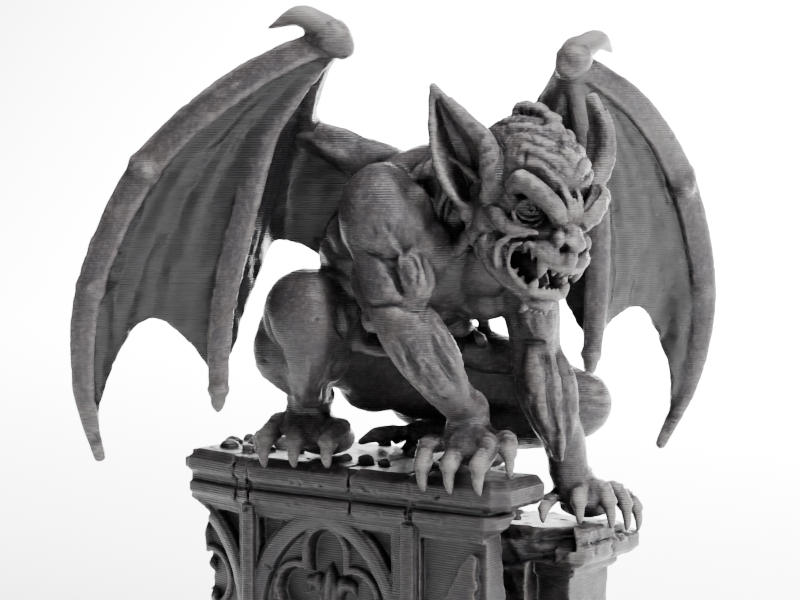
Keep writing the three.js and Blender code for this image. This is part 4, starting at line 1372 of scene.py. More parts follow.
    def face_wrinkles(self, side: int) -> None:
        """Crow's feet, folds round the mouth and creases on the muzzle."""
        for i in range(4):
            start = (6.0, side * 6.6, -2.6 - 0.5 * i)
            end = (2.0 - 0.4 * i, side * 7.5, -1.2 - 1.2 * i)
            middle = ((start[0] + end[0]) / 2, side * 7.4, (start[2] + end[2]) / 2 + 0.3)
            self.clay.stroke([start, middle, end], 0.26, -0.34, place=self.head, wobble=0.4, seed=920 + i)
        for i in range(4):
            self.clay.stroke(
                mirrored(
                    [(4.6 - i, 6.6, -7.6), (4.4 - i, 6.6, -10.0 - 0.4 * i), (6.6 - i, 5.6, -12.6 - 0.3 * i)],
                    side
                ),
                0.3, -0.32, place=self.head, wobble=0.4, seed=940 + i
            )

    def crown(self) -> None:
        """The crest along the middle of the skull and the brain-like folds beside it."""
        clay, head = self.clay, self.head
        crest = [
            (6.6, -0.6, 5.2), (4.4, 0.5, 6.5), (1.6, -0.4, 7.4), (-1.2, 0.6, 7.9), (-4.0, -0.3, 8.0),
            (-6.8, 0.2, 7.0)
        ]
        for i, at in enumerate(crest):
            size = 1.0 + 0.12 * i
            clay.egg(at, (size * 1.3, size * 1.2, size * 0.72), (0, 40 - 16 * i, 0), place=head, blend=0.7)
        folds = [
            [(4.2, 6.9, 2.4), (7.0, 5.7, 3.6), (9.2, 3.6, 3.0), (10.3, 1.6, 1.4)],
            [(3.4, 6.2, 4.6), (6.2, 4.5, 5.4), (8.4, 2.4, 4.8), (9.4, 0.8, 3.4)],
            [(0.8, 6.3, 5.4), (3.6, 4.2, 6.6), (6.0, 2.0, 6.4), (7.2, 0.4, 5.6)],
            [(-2.4, 6.4, 5.4), (0.4, 4.2, 7.0), (2.8, 1.8, 7.6)],
            [(-5.6, 5.8, 5.4), (-3.2, 3.8, 7.2), (-0.8, 1.4, 8.0)],
            [(-8.0, 4.4, 4.4), (-6.4, 2.6, 6.4), (-4.4, 0.8, 7.6)],
        ]
        for side in (-1, 1):
            for i, fold in enumerate(folds):
                clay.stroke(
                    mirrored(fold, side), 1.1, 0.34, place=head, wobble=0.5, seed=960 + i + 10 * side,
                    blend=0.5
                )
                gully = [(p[0] - 1.25, p[1] - 0.3, p[2] + 0.9) for p in fold]
                clay.stroke(
                    mirrored(gully, side), 0.32, -0.36, place=head, wobble=0.5, seed=980 + i + 10 * side
                )
            for i in range(9):
                spot = [self.rng.uniform(-6, 6.4), self.rng.uniform(1, 6)]
                way = self.rng.uniform(-1, 1, 2)
                rows = [
                    (
                        spot[0] + way[0] * t, spot[1] + way[1] * t, 6.4 - 0.1 * spot[1] ** 2
                    ) for t in (-1.5, 0, 1.5)
                ]
                clay.stroke(
                    mirrored(rows, side), 0.26, -0.3, place=head, wobble=0.5, seed=1000 + i + 20 * side
                )

    def ear(self, front: Points, back: Points, sink: Point, lobe: Point, canal: Point) -> None:
        """A pointed bat ear: a hollow shell between two rims that meet at the tip.

        Args:
            front: The front rim from its foot to the tip, in the head's frame.
            back: The back rim from its foot to the tip.
            sink: How far and which way the shell is hollowed.
            lobe: Where the lobe hangs.
            canal: Where the ear's hole is.
        """
        clay, head = self.clay, self.head
        fore, rear = curve(front, 12), curve(back, 12)

        def shell(u: float, v: float) -> np.ndarray:
            """The middle of the shell, u from rim to rim and v from foot to tip."""
            i = v * (len(fore) - 1)
            low = min(int(i), len(fore) - 2)
            a = fore[low] + (fore[low + 1] - fore[low]) * (i - low)
            b = rear[low] + (rear[low + 1] - rear[low]) * (i - low)
            ridge = 0.12 * math.sin(u * 22) * (1 - v)
            depth = 4 * u * (1 - u) * (1 - 0.75 * v * v) + ridge * 2.2 * u * (1 - u)
            return head.put([a * (1 - u) + b * u + np.asarray(sink) * depth])[0]

        clay.web(shell, 28, 40, 1.0, 0.4)
        clay.rope(front, [1.7, 1.6, 1.45, 1.15, 0.5], place=head, blend=0.3)
        clay.rope(back, [0.9, 0.65, 0.55, 0.6, 0.5], place=head, blend=0.3)
        for shift in (-0.55, 0.55):
            ridge = fore[4:-4:4] + np.array([0.9, 0, 0.3]) + shift * np.array([0.2, 0.9, 0.5])
            clay.rope(ridge, np.linspace(0.5, 0.18, len(ridge)), place=head, blend=0.25)
        inner = (fore * 0.45 + rear * 0.55)[6:-14] + np.asarray(sink) * 0.8
        clay.rope(inner[::4], np.linspace(0.5, 0.22, len(inner[::4])), place=head, blend=0.5)
        fold = [fore[10] * 0.6 + rear[10] * 0.4, fore[20] * 0.35 + rear[20] * 0.65, rear[30]]
        clay.rope([p + np.asarray(sink) * 0.5 for p in fold], [0.7, 0.45, 0.3], place=head, blend=0.3)
        clay.egg(lobe, (1.15, 1.1, 1.5), place=head, blend=0.5)
        clay.egg(canal, (2.3, 1.7, 2.6), (10, 0, 0), place=head, cut=True, blend=0.4)
        for i in range(5):
            t = 8 + 6 * i
            across = [fore[t] * (1 - s) + rear[t] * s - np.asarray(sink) * 0.4 for s in (-0.12, 0.04, 0.2)]
            clay.stroke(across, 0.22, -0.22, place=head, wobble=0.2, seed=1100 + i)

    def ears(self) -> None:
        """The right ear spread towards the viewer and the left one pricked."""
        self.ear(
            front=[
                (1.8, -7.4, -3.6), (0.9, -8.2, 0.2), (-1.0, -9.4, 3.0), (-4.2, -12.2, 5.0), (-8.0, -15.8, 7.4)
            ],
            back=[
                (-0.6, -8.4, -7.0), (-2.8, -11.2, -5.2), (-4.8, -13.3, -2.2), (-6.6, -14.6, 1.8),
                (-8.0, -15.8, 7.4)
            ],
            sink=(-3.4, 3.0, -0.8), lobe=(-0.4, -8.4, -7.4), canal=(-0.6, -9.6, -3.6)
        )
        self.ear(
            front=[(2.0, 7.2, -3.4), (1.8, 9.8, 0.4), (0.6, 11.4, 4.0), (-2.0, 11.4, 8.0), (-5.2, 9.9, 11.4)],
            back=[
                (-1.0, 8.2, -6.6), (-0.8, 12.6, -3.2), (-1.4, 14.0, 1.6), (-3.2, 13.2, 6.4), (-5.2, 9.9, 11.4)
            ],
            sink=(-2.4, -2.4, -0.4), lobe=(-0.6, 8.4, -7.2), canal=(0.2, 9.4, -4.0)
        )

    def sculpt(self) -> Clay:
        """Sculpts the whole beast, big masses first."""
        self.trunk()
        self.tail()
        self.right_leg()
        self.left_leg()
        self.right_arm()
        self.left_arm()
        self.right_hand()
        self.left_hand()
        self.wing(1)
        self.wing(-1)
        self.skull()
        self.mouth()
        self.face()
        self.crown()
        self.ears()
        return self.clay

    @staticmethod
    def relief(points: np.ndarray, kinds: np.ndarray) -> np.ndarray:
        """Leathery skin: lumps and puckers, except on claws, teeth and eyes.

        Args:
            points: Points of the skin, in the beast's frame.
            kinds: Their surface kinds.

        Returns:
            How far each point moves outwards, in mm.
        """
        rough = 0.12 * gradient_noise(points, 3.0, 1) + 0.05 * gradient_noise(points, 1.2, 2)
        rough -= 0.08 * np.maximum(0.12 - np.abs(gradient_noise(points, 2.1, 3)), 0) / 0.12
        rough += 0.03 * gradient_noise(points, 0.6, 4)
        own = BEAST_HEAD.back(points)
        bent = own + 0.8 * gradient_noise(own, 2.6, 5)[:, None]
        convolved = np.abs(gradient_noise(bent * (0.55, 0.3, 0.55), 1.0, 6))
        crown = np.clip((own[:, 2] - 1.2) / 1.5, 0, 1) * np.clip((8.6 - np.abs(own[:, 1])) / 1.0, 0, 1)
        crown *= np.clip((own[:, 0] + 9) / 2, 0, 1) * np.clip((16 - own[:, 0]) / 2, 0, 1) * (own[:, 2] < 12)
        rough += crown * (0.06 - 0.16 * np.maximum(0.12 - convolved, 0) / 0.12)
        eyeball = (kinds == Surface.PAINTED_SHADE.value) & (np.linalg.norm(own, axis=1) < 12)
        return np.where((kinds == Surface.SMOOTH.value) | eyeball, 0.02, 1.0) * rough


# ---- the wall -----------------------------------------------------------------------------


@dataclass
class Wall:
    """The ruined Gothic wall, in the part's own frame."""

    step: float = 0.22
    left: float = -35.0
    corner: float = 28.2
    front: float = -15.0
    back: float = 11.0
    pier_left: float = 11.5
    panel_left: float = -19.8
    setback: float = 2.8
    overhang: float = 1.2
    rng: np.random.Generator = field(default_factory=lambda: np.random.default_rng(11))
    clay: Clay = field(init=False)

    def __post_init__(self) -> None:
        """Makes the block that the wall is carved from."""
        self.clay = Clay(WALL_LOW - (1.5, 1.5, 1.5), WALL_HIGH + (1.5, 1.5, 1.5), self.step)

    def prism(
        self, plan: Points, low: float, high: float, grow: float = 0.0,
        bevel: tuple[float, float] = (0.2, 0.2), blend: float = 0.06, cut: bool = False, rough: float = 0.0,
        kind: Surface | None = None
    ) -> None:
        """Presses in an upright block of convex plan.

        Args:
            plan: Corners, anticlockwise from above.
            low: Height of its foot.
            high: Height of its top.
            grow: How far the plan is moved outwards.
            bevel: Chamfers at the foot and at the top.
            blend: How softly it joins, and how worn its edges are.
            cut: Whether it is cut out.
            rough: How uneven its faces are.
            kind: The surface that it leaves.
        """
        corners = np.asarray(plan, float)
        box_low = (*(corners.min(axis=0) - grow), low)
        box_high = (*(corners.max(axis=0) + grow), high)
        part, (x, y, z) = self.clay.window(box_low, box_high, 1.2)
        side = None
        for a, b in zip(corners, np.roll(corners, -1, axis=0)):
            edge = (b - a) / np.linalg.norm(b - a)
            gap = (x - a[0]) * edge[1] - (y - a[1]) * edge[0] - grow
            side = gap if side is None else smooth_max(side, gap, 0.12)
        distance = smooth_max(side, z - high, 0.1)
        distance = smooth_max(distance, (side + z - high + bevel[1]) * 0.7071, 0.1)
        distance = smooth_max(distance, low - z, 0.1)
        distance = smooth_max(distance, (side + low - z + bevel[0]) * 0.7071, 0.1)
        if rough:
            distance = distance + rough * self.lumps(part, 1.6)
        self.clay.press(part, distance, blend, cut, kind)

    def lumps(self, part: tuple, size: float) -> np.ndarray:
        """Smooth noise over a window, with lumps about as wide as size."""
        shape = [s.stop - s.start for s in part]
        coarse = [int(n * self.step / size) + 3 for n in shape]
        made = self.rng.uniform(-1, 1, coarse).astype(np.float32)
        for axis, (count, cells) in enumerate(zip(shape, coarse)):
            at = np.arange(count) * self.step / size
            low = np.minimum(at.astype(int), cells - 2)
            part_way = at - low
            ease = part_way * part_way * (3 - 2 * part_way)
            mix = [1, 1, 1]
            mix[axis] = count
            ease = ease.reshape(mix).astype(np.float32)
            made = np.take(made, low, axis=axis) * (1 - ease) + np.take(made, low + 1, axis=axis) * ease
        return made

    def main_plan(self) -> list[tuple[float, float]]:
        """The plan of the long wall, whose front turns back at its left end."""
        face, back = self.front + self.overhang, self.back - self.overhang
        left, right = self.left + self.overhang, self.corner - self.overhang - 3
        return [
            (left, face + self.setback), (self.panel_left - 0.7, face), (right, face), (right, back),
            (left + 1, back), (left, back - 1),
        ]

    @staticmethod
    def outline(
        left: float, right: float, front: float, back: float, cut: float = 1.0
    ) -> list[tuple[float, float]]:
        """An oblong plan with its corners cut."""
        return [
            (left + cut, front), (right - cut, front), (right, front + cut), (right, back - cut),
            (right - cut, back), (left + cut, back), (left, back - cut), (left, front + cut),
        ]

    def foot(self, plan: Points, grow: float = 0.0) -> None:
        """The base moulding round a plan: a square plinth, a bevel and a fillet."""
        self.prism(plan, 0, 3.9, 2.2 + grow, (0.1, 0.5))
        self.prism(plan, 3.0, 4.9, 1.5 + grow, (0.1, 0.5))
        self.prism(plan, 4.0, 6.2, 0.9 + grow, (0.1, 0.8))

    def core(self) -> None:
        """The long wall, the pier and the broken ledge, each with its base and courses."""
        face = self.front + self.overhang
        plan = self.main_plan()
        self.prism(plan, 0, 36.2, rough=0.04)
        self.foot(plan)
        pier = self.outline(self.pier_left + 0.8, self.corner - self.overhang - 3, face - 0.2, -6.4, 0.6)
        self.prism(pier, 0, 36.2, rough=0.05)
        self.foot(pier)
        ledge = self.outline(17, 32.6, -1.6, 16)
        self.prism(ledge, 0, LEDGE_TOP - 6, -3.0, rough=0.1)
        self.foot(ledge, -0.2)

    def slab(self) -> None:
        """The cornice: two moulded courses of separate, slightly shifted stones."""
        face, back = self.front + self.overhang, self.back - self.overhang
        left = self.left + self.overhang
        slope = self.setback / (self.panel_left - 0.7 - left)

        def bay(x0: float, x1: float, shift: float = 0.0) -> list[tuple[float, float]]:
            """Plan of one stone of the turned bay."""
            y0, y1 = (face + self.setback - slope * (x - left) + shift for x in (x0, x1))
            return [(x0, y0), (x1, y1), (x1, back), (x0, back)]

        def stone(x0: float, x1: float, shift: float = 0.0) -> list[tuple[float, float]]:
            """Plan of one stone of the straight front."""
            return [(x0, face + shift), (x1, face + shift), (x1, back), (x0, back)]

        top = SLAB_TOP
        for plan, lift, grow in (
            (bay(left + 0.2, -22.4), -0.1, 1.0),
            (bay(-22.2, -19.4, 0.1), -0.3, 0.8),
            (stone(-18.9, 0.3), 0.0, 1.15),
            (stone(0.6, self.pier_left - 0.3, 0.1), -0.12, 1.15),
        ):
            narrow = [(x, y - (grow if y < 0 else 0)) for x, y in plan]
            self.prism(narrow, top - 4.4, top + lift, 0.0, (1.0, 1.3), rough=0.02)
            inner = [(x, y - (grow - 0.25 if y < 0 else 0)) for x, y in plan]
            self.prism(inner, top - 8.0, top - 5.2, 0.0, (1.0, 0.35), rough=0.02)
            self.prism(
                [(x, y - (0.1 if y < 0 else 0)) for x, y in plan], top - 8.6, top - 3.4, 0.0, (0.2, 0.1)
            )
        whole = [
            (left, face + self.setback), (self.panel_left, face), (self.pier_left + 2, face),
            (self.pier_left + 2, back), (left, back)
        ]
        self.prism(whole, top - 8.6, top - 0.35, -0.1, rough=0.03)
        self.prism(whole, top - 3.4, top - 1.5, 0.8, (0.3, 0.3), rough=0.03)
        pier = [
            (self.pier_left + 0.1, face), (self.corner - 2.8, face), (self.corner - 1.2, face + 1.6),
            (self.corner - 1.2, -3.6), (self.pier_left + 0.1, -3.6)
        ]
        self.prism(pier, top - 4.4, top, 1.15, (1.0, 1.3), rough=0.02)
        self.prism(
            self.outline(self.pier_left + 0.2, self.corner - 2.8, face - 0.15, -5.0, 1.0), top - 8.0,
            top - 5.2, 0.95, (1.0, 0.35), rough=0.02
        )
        self.prism(
            self.outline(self.pier_left + 0.2, self.corner - 3.6, face - 0.15, -5.4, 0.6), top - 8.6,
            top - 3.4, 0.0, (0.3, 0.1)
        )

    def fallen(self) -> None:
        """The back right quarter, fallen away down to the ledge, with a broken face."""
        box = [(13.4, -3.2), (40, -3.2), (40, 30), (11.4, 30)]
        self.prism(
            box, LEDGE_TOP - 0.6, 60, 0, (0.3, 0.3), blend=0.5, cut=True, rough=0.5, kind=Surface.BROKEN
        )
        self.prism(
            [(17.4, -6.2), (40, -6.2), (40, -2.2), (17.8, -2.0)], 6.4, LEDGE_TOP + 1, cut=True, rough=0.3,
            kind=Surface.BROKEN
        )

    def ledge(self) -> None:
        """The lower ledge: three cracked courses on a pillar, broken at its front left."""
        top = LEDGE_TOP
        plan = self.outline(15, 32.6, -1.6, 16)
        self.prism(plan, top - 7.8, top - 5.2, -1.9, (0.7, 0.2), rough=0.08)
        self.prism(plan, top - 5.6, top - 2.2, 1.15, (1.0, 0.5), rough=0.08)
        self.prism(self.outline(15, 32.6, -1.6, 9.6), top - 2.8, top - 0.05, 0.35, (0.3, 0.5), rough=0.08)
        self.prism(self.outline(15, 31.4, 9.2, 15.4), top - 3.0, top - 1.0, 0.3, (0.3, 0.4), rough=0.12)
        for at, turn in (
            ((23.4, -4.6, top - 2.8), (28, -14, 12)), ((20.2, -4.9, top - 6), (10, 20, -8)),
            ((27.6, -4.6, top - 0.4), (40, -8, 30))
        ):
            self.facet(at, (5.4, 2.4, 4.4), turn)

    def facet(self, at: Point, size: Point, turn: Point, blend: float = 0.2) -> None:
        """Splits off a piece with flat, tilted faces, as stone breaks.

        Args:
            at: The middle of the piece that is gone.
            size: Its half sizes.
            turn: Degrees about X, then Y, then Z.
            blend: How rounded the new edges are.
        """
        axes = turn_matrix(turn)
        size = np.asarray(size, float)
        half = np.abs(axes) @ size
        part, (x, y, z) = self.clay.window(np.asarray(at) - half, np.asarray(at) + half, 1.0)
        if min(x.size, y.size, z.size) == 0:
            return
        x, y, z = x - at[0], y - at[1], z - at[2]
        distance = None
        for i in range(3):
            own = np.abs(x * axes[0, i] + y * axes[1, i] + z * axes[2, i]) - size[i]
            distance = own if distance is None else np.maximum(distance, own)
        self.clay.press(part, distance + 0.12 * self.lumps(part, 1.1), blend, True, Surface.BROKEN)

    # -- the carved front --

    def arch_gap(
        self, x: np.ndarray, z: np.ndarray, centre: float, half: float, springing: float
    ) -> np.ndarray:
        """Signed distance to a pointed arch's outline in the plane of the front, below 0 inside it.

        Args:
            x: Places along the wall.
            z: Heights.
            centre: The arch's middle.
            half: Half its width.
            springing: Where its curves start.

        Returns:
            The distances in mm.
        """
        radius = 1.366 * half
        aside = np.abs(x - centre)
        high = np.sqrt((aside + radius - half) ** 2 + np.maximum(z - springing, 0) ** 2) - radius
        return np.where(z > springing, high, aside - half)

    def carve_front(
        self, low: Point, high: Point, depth_at: Callable, turn: float = 0.0, pivot: float = 0.0
    ) -> None:
        """Carves the front to a depth that varies over it.

        Args:
            low: Lowest X and Z carved.
            high: Highest X and Z carved.
            depth_at: Gives the depth below the wall's face for arrays of X and Z.
            turn: How far the face sets back for each unit left of pivot.
            pivot: Where the setback starts.
        """
        face = self.front + self.overhang
        part, (x, y, z) = self.clay.window((low[0], face - 2, low[1]), (high[0], face + 7, high[1]), 0)
        depth = depth_at(x, z).astype(np.float32)
        back = face + turn * np.maximum(pivot - x, 0) + depth
        rise = np.gradient(depth, self.step, axis=2) ** 2 + np.gradient(depth, self.step, axis=0) ** 2
        open_air = (y - back) / np.sqrt(1 + np.minimum(rise, 6.0))
        old = self.clay.field_mm[part]
        self.clay.field_mm[part] = smooth_max(old, -open_air, 0.12)

    @staticmethod
    def step_up(gap: np.ndarray, width: float) -> np.ndarray:
        """Goes from 0 to 1 as a signed distance goes from -width/2 to width/2."""
        return np.clip(gap / width + 0.5, 0, 1)

    def tracery(self, centre: float, springing: float = 16.0) -> Callable:
        """The depth of the traceried bay: arch, foils, cusps, spandrels and the bud in the middle."""
        half = 14.5
        soft = 0.3

        def depth_at(x: np.ndarray, z: np.ndarray) -> np.ndarray:
            """The depth at each point."""
            arch = self.arch_gap(x, z, centre, half, springing)
            aside = np.abs(x - centre)
            foils = np.sqrt(aside**2 + (z - 28.2) ** 2) - 3.3
            foils = np.minimum(foils, np.sqrt((aside - 5.3) ** 2 + (z - 21.3) ** 2) - 3.9)
            foils = np.minimum(foils, np.maximum(np.maximum(aside - 3.4, z - 28), 10 - z))
            foils = np.minimum(foils, np.sqrt((aside - 3.0) ** 2 + (z - 14.2) ** 2) - 3.9)
            flush = 1 - self.step_up(-(arch + 2.3), soft)
            inside = 1 - flush
            rim = (1 - self.step_up(np.abs(foils - 0.6) - 0.6, soft)) * inside
            hole = (1 - self.step_up(foils, soft)) * inside
            depth = 1.6 * inside - 0.75 * rim + 1.5 * hole
            depth = depth + 0.55 * self.step_up(-(arch + 1.45), 1.5) * flush
            corner = np.maximum(np.maximum(-arch + 1.0, z - 32.4), np.maximum(aside - half + 1.9, 24.0 - z))
            depth = depth + 1.5 * (1 - self.step_up(corner, 0.3)) + 0.35 * (
                1 - self.step_up(corner - 0.7, 0.3)
            )
            frame_line = 1 - self.step_up(33.4 - z, 0.3) * self.step_up(
                half + 0.6 - aside, 0.3
            ) * self.step_up(z - 8.4, 0.3)
            depth = depth * (1 - frame_line)
            bud = self.bud(x - centre, z)
            return np.maximum(depth - bud * hole, 0)

        return depth_at

    def bud(self, x: np.ndarray, z: np.ndarray) -> np.ndarray:
        """The height of the leafy bud in the middle of the tracery."""
        stalk = np.clip(1.0 - np.abs(x) / 0.9, 0, 1) * (z < 19)
        body = np.clip(
            1 - (np.abs(x) / 2.3 + np.maximum(z - 21, 0) / 9) ** 2 - ((z - 22.0) / 5.4) ** 2, 0, 1
        ) ** 0.5
        # Each leaf rises from the stalk and curls over: across, up and half its width, for one side.
        upper = [(0.6, 20.6, 1.0), (2.4, 23.2, 1.2), (4.0, 23.0, 0.9), (4.5, 21.4, 0.3)]
        lower = [(0.6, 14.6, 1.1), (2.6, 17.8, 1.4), (4.8, 17.8, 1.0), (5.4, 15.8, 0.3)]
        leaves = 0 * x * z
        for sign in (-1, 1):
            for x0, z0, w0, x1, z1, w1 in (
                a + b for path in (upper, lower) for a, b in zip(path[:-1], path[1:])
            ):
                run, rise, from_x, from_z = sign * (x1 - x0), z1 - z0, x - sign * x0, z - z0
                share = np.clip((from_x * run + from_z * rise) / (run**2 + rise**2), 0, 1)
                width = w0 + (w1 - w0) * share
                gap = (from_x - share * run) ** 2 + (from_z - share * rise) ** 2
                leaves = np.maximum(leaves, width * np.sqrt(np.clip(1 - gap / width**2, 0, 1)))
        vein = 0.25 * np.cos(x * 5.0) * body
        return np.maximum(np.maximum(2.1 * body, 1.3 * leaves), 1.6 * stalk) + vein

    def front_face(self) -> None:
        """Carves the bays, then adds shafts and the pier's sunk panel."""
        centre = (self.panel_left + self.pier_left) / 2 - 1.25
        self.carve_front((self.panel_left + 0.9, 7.8), (self.pier_left - 1.2, 33.8), self.tracery(centre))
        turned = self.setback / (self.panel_left - 0.7 - self.left - self.overhang)
        self.carve_front(
            (self.left - 1, 7.8), (self.panel_left - 1.4, 33.8), self.tracery(self.panel_left - 15.2), turned,
            self.panel_left - 0.7
        )
        face = self.front + self.overhang
        for x, width in ((self.panel_left + 0.3, 2.1), (self.pier_left - 0.6, 2.3)):
            plan = [
                (x - width / 2, face - 0.75), (x + width / 2, face - 0.75), (x + width / 2, face + 1),
                (x - width / 2, face + 1)
            ]
            self.prism(plan, 6, 35.2, 0, (0.3, 0.9), rough=0.03)
        pier_left, pier_right = self.pier_left + 1.5, self.corner - 4.4
        panel = [
            (pier_left, face - 3), (pier_right + 3, face - 3), (pier_right + 3, face + 1.1),
            (pier_left, face + 1.1)
        ]
        self.prism(panel, 8.5, 32.6, 0, (0.1, 0.1), cut=True, rough=0.06)
        self.plaster(pier_left, face)

    def plaster(self, left: float, face: float) -> None:
        """Broken facing stones that still cling to the pier's sunk panel."""
        stones = [
            [
                (left + 3.6, 22.4), (left + 9.6, 22.0), (left + 9.7, 30.4), (left + 8.0, 31.2),
                (left + 6.6, 28.6), (left + 4.8, 26.8), (left + 4.2, 24.2)
            ],
            [
                (left + 0.6, 12.6), (left + 9.6, 12.2), (left + 9.6, 21.2), (left + 3.0, 21.4),
                (left + 1.4, 19.0)
            ],
            [(left + 2.0, 8.8), (left + 9.6, 8.8), (left + 9.6, 11.6), (left + 2.4, 11.8)]
        ]
        for corners in stones:
            rows = np.asarray(corners)
            part, (x, y, z) = self.clay.window(
                (rows[:, 0].min(), face - 0.4, rows[:, 1].min()),
                (rows[:, 0].max(), face + 1.6, rows[:, 1].max()), 0.8
            )
            inside = None
            for a, b in zip(rows, np.roll(rows, -1, axis=0)):
                edge = (b - a) / np.linalg.norm(b - a)
                gap = (x - a[0]) * edge[1] - (z - a[1]) * edge[0]
                inside = gap if inside is None else smooth_max(inside, gap, 0.3)
            ragged = inside + 0.35 * self.lumps(part, 1.3)
            slab = np.maximum(np.abs(y - face - 0.5) - 0.75, ragged) + 0.06 * self.lumps(part, 0.7)
            self.clay.press(part, slab, 0.15, False, None)

    # -- ruin --

    def left_end(self) -> None:
        """Breaks the left end of the wall back in ragged facets under the cornice."""
        face = self.front + self.overhang + self.setback
        self.prism(
            [(-40, -20), (-31.4, -20), (-31.4, 20), (-40, 20)], 7.2, 33.0, cut=True, rough=0.4,
            kind=Surface.BROKEN
        )
        for at, size, turn in (
            ((-36.4, face + 2, 30.4), (4.4, 8, 4.0), (6, 24, 24)),
            ((-37.4, face + 2, 23.4), (4.6, 9, 4.6), (-8, -14, 30)),
            ((-36.6, face + 1, 15.2), (4.8, 9, 4.6), (12, 12, 20)),
            ((-38.4, face + 4, 8.8), (4.0, 8, 3.0), (0, -16, 34)),
        ):
            self.facet(at, size, turn)

    def chips(self, start: Point, end: Point, count: int, size: float) -> None:
        """Knocks small flakes off an edge between two points.

        Args:
            start: One end of the edge.
            end: The other end.
            count: How many flakes.
            size: About how large they are, in mm.
        """
        start, end = np.asarray(start, float), np.asarray(end, float)
        for _ in range(round(0.5 * count)):
            at = start + (end - start) * self.rng.uniform()
            scale = size * self.rng.uniform(0.4, 1.3)
            turn = self.rng.uniform(-50, 50, 3)
            at = at + self.rng.normal(size=3) * 0.25 * scale
            self.clay.egg(
                at, (scale * 1.5, scale * 0.8, scale * 0.7), turn, blend=0.15, cut=True, kind=Surface.BROKEN
            )

    def worn_edges(self) -> None:
        """Chips along the long edges."""
        top, front = SLAB_TOP, self.front
        self.chips((self.left + 1, front + self.setback, top), (self.panel_left, front, top), 12, 0.55)
        for height, count, size in (
            (top - 0.6, 26, 0.5), (top - 3.2, 22, 0.42), (top - 4.6, 16, 0.36), (top - 6.6, 16, 0.36)
        ):
            self.chips((self.panel_left, front, height), (self.corner, front, height), count, size)
        self.chips((self.corner, front + 1, top), (self.corner, -4, top), 10, 0.6)
        self.chips((self.corner, -3, top), (self.corner, -3, top - 4), 8, 0.7)
        self.chips((33.6, -2.6, LEDGE_TOP - 2), (33.6, 16, LEDGE_TOP - 2), 22, 0.6)
        self.chips((33.0, -2, LEDGE_TOP), (33.0, 9, LEDGE_TOP), 14, 0.6)
        self.chips((20, -2.6, LEDGE_TOP), (33, -2.6, LEDGE_TOP), 14, 0.8)
        self.chips((self.corner - 3.4, front + 1, 34), (self.corner - 3.4, front + 1, 7), 26, 1.0)
        self.chips((self.corner - 4, -6.4, 34), (self.corner - 4, -6.4, 7), 18, 1.0)
        self.chips((self.left, front + 4, 4), (self.corner, front - 1, 4), 18, 0.5)
        self.chips((self.left, self.back, top), (12, self.back, top), 26, 0.7)
        self.chips((self.left, self.back, top), (self.left, front + 3, top), 16, 0.8)

    def cracks(self) -> None:
        """Open joints between the stones and cracks through them."""
        top, front = SLAB_TOP, self.front
        lines = [
            [
                (-22.3, -6, top), (-22.0, -12.4, top), (-22.1, front + 0.5, top - 1.4),
                (-22.5, front + 0.6, top - 4), (-21.4, front + 0.9, top - 6.6)
            ],
            [
                (-18.4, -5, top), (-18.9, -12, top), (-18.8, front, top - 1.4), (-19.6, front, top - 4),
                (-19.0, front, top - 7), (-20, front + 1, top - 9)
            ],
            [
                (3.2, -8, top), (1.6, -11, top), (2.2, -14, top), (0.8, front, top - 1.6),
                (0.2, front, top - 3.2)
            ],
            [
                (13.0, -9, top), (11.8, -13, top), (11.6, front, top - 1.6), (12.0, front, top - 3.6),
                (11.2, front, top - 5.4), (11.6, front, top - 7), (9.6, front + 1, top - 9.4)
            ],
            [
                (23.6, -6, top), (25.4, -9.4, top), (27.4, -10.6, top), (28.4, -9.6, top - 1.6),
                (28.4, -10.8, top - 3.4)
            ],
            [(28.6, -7.0, top - 0.3), (28.6, -7.6, top - 1.4), (28.5, -6.4, top - 3)],
            [
                (30, 2, LEDGE_TOP), (32.6, 1.4, LEDGE_TOP), (33.2, 1.8, LEDGE_TOP - 2),
                (33.8, 1.2, LEDGE_TOP - 4), (33, 0.2, LEDGE_TOP - 6), (31, -0.4, LEDGE_TOP - 9),
                (30, -1.2, LEDGE_TOP - 14)
            ],
            [(33.6, 7.8, LEDGE_TOP - 2.4), (33.8, 7.2, LEDGE_TOP - 3.6), (33.6, 8, LEDGE_TOP - 5)],
            [(-31, -9, top), (-29, -11, top), (-27.4, -10, top), (-25, -11.4, top)],
            [(-14, -9.6, top), (-10, -10.6, top), (-6, -9.8, top), (-3, -10.8, top), (1.6, -11.2, top)]
        ]
        for i, line in enumerate(lines):
            self.clay.stroke(line, 0.34, -0.95, wobble=0.55, seed=1200 + i, blend=0.15, kind=Surface.BROKEN)
        for i in range(5):
            z = 31 - 4.6 * i
            self.clay.stroke(
                [
                    (-16.8 + 0.5 * i, front + 1, z - 6), (-15.6 + 0.4 * i, front + 1, z - 6.6),
                    (-14.6, front + 1, z - 7.4)
                ],
                0.2, -0.4, wobble=0.3, seed=1220 + i, blend=0.1
            )

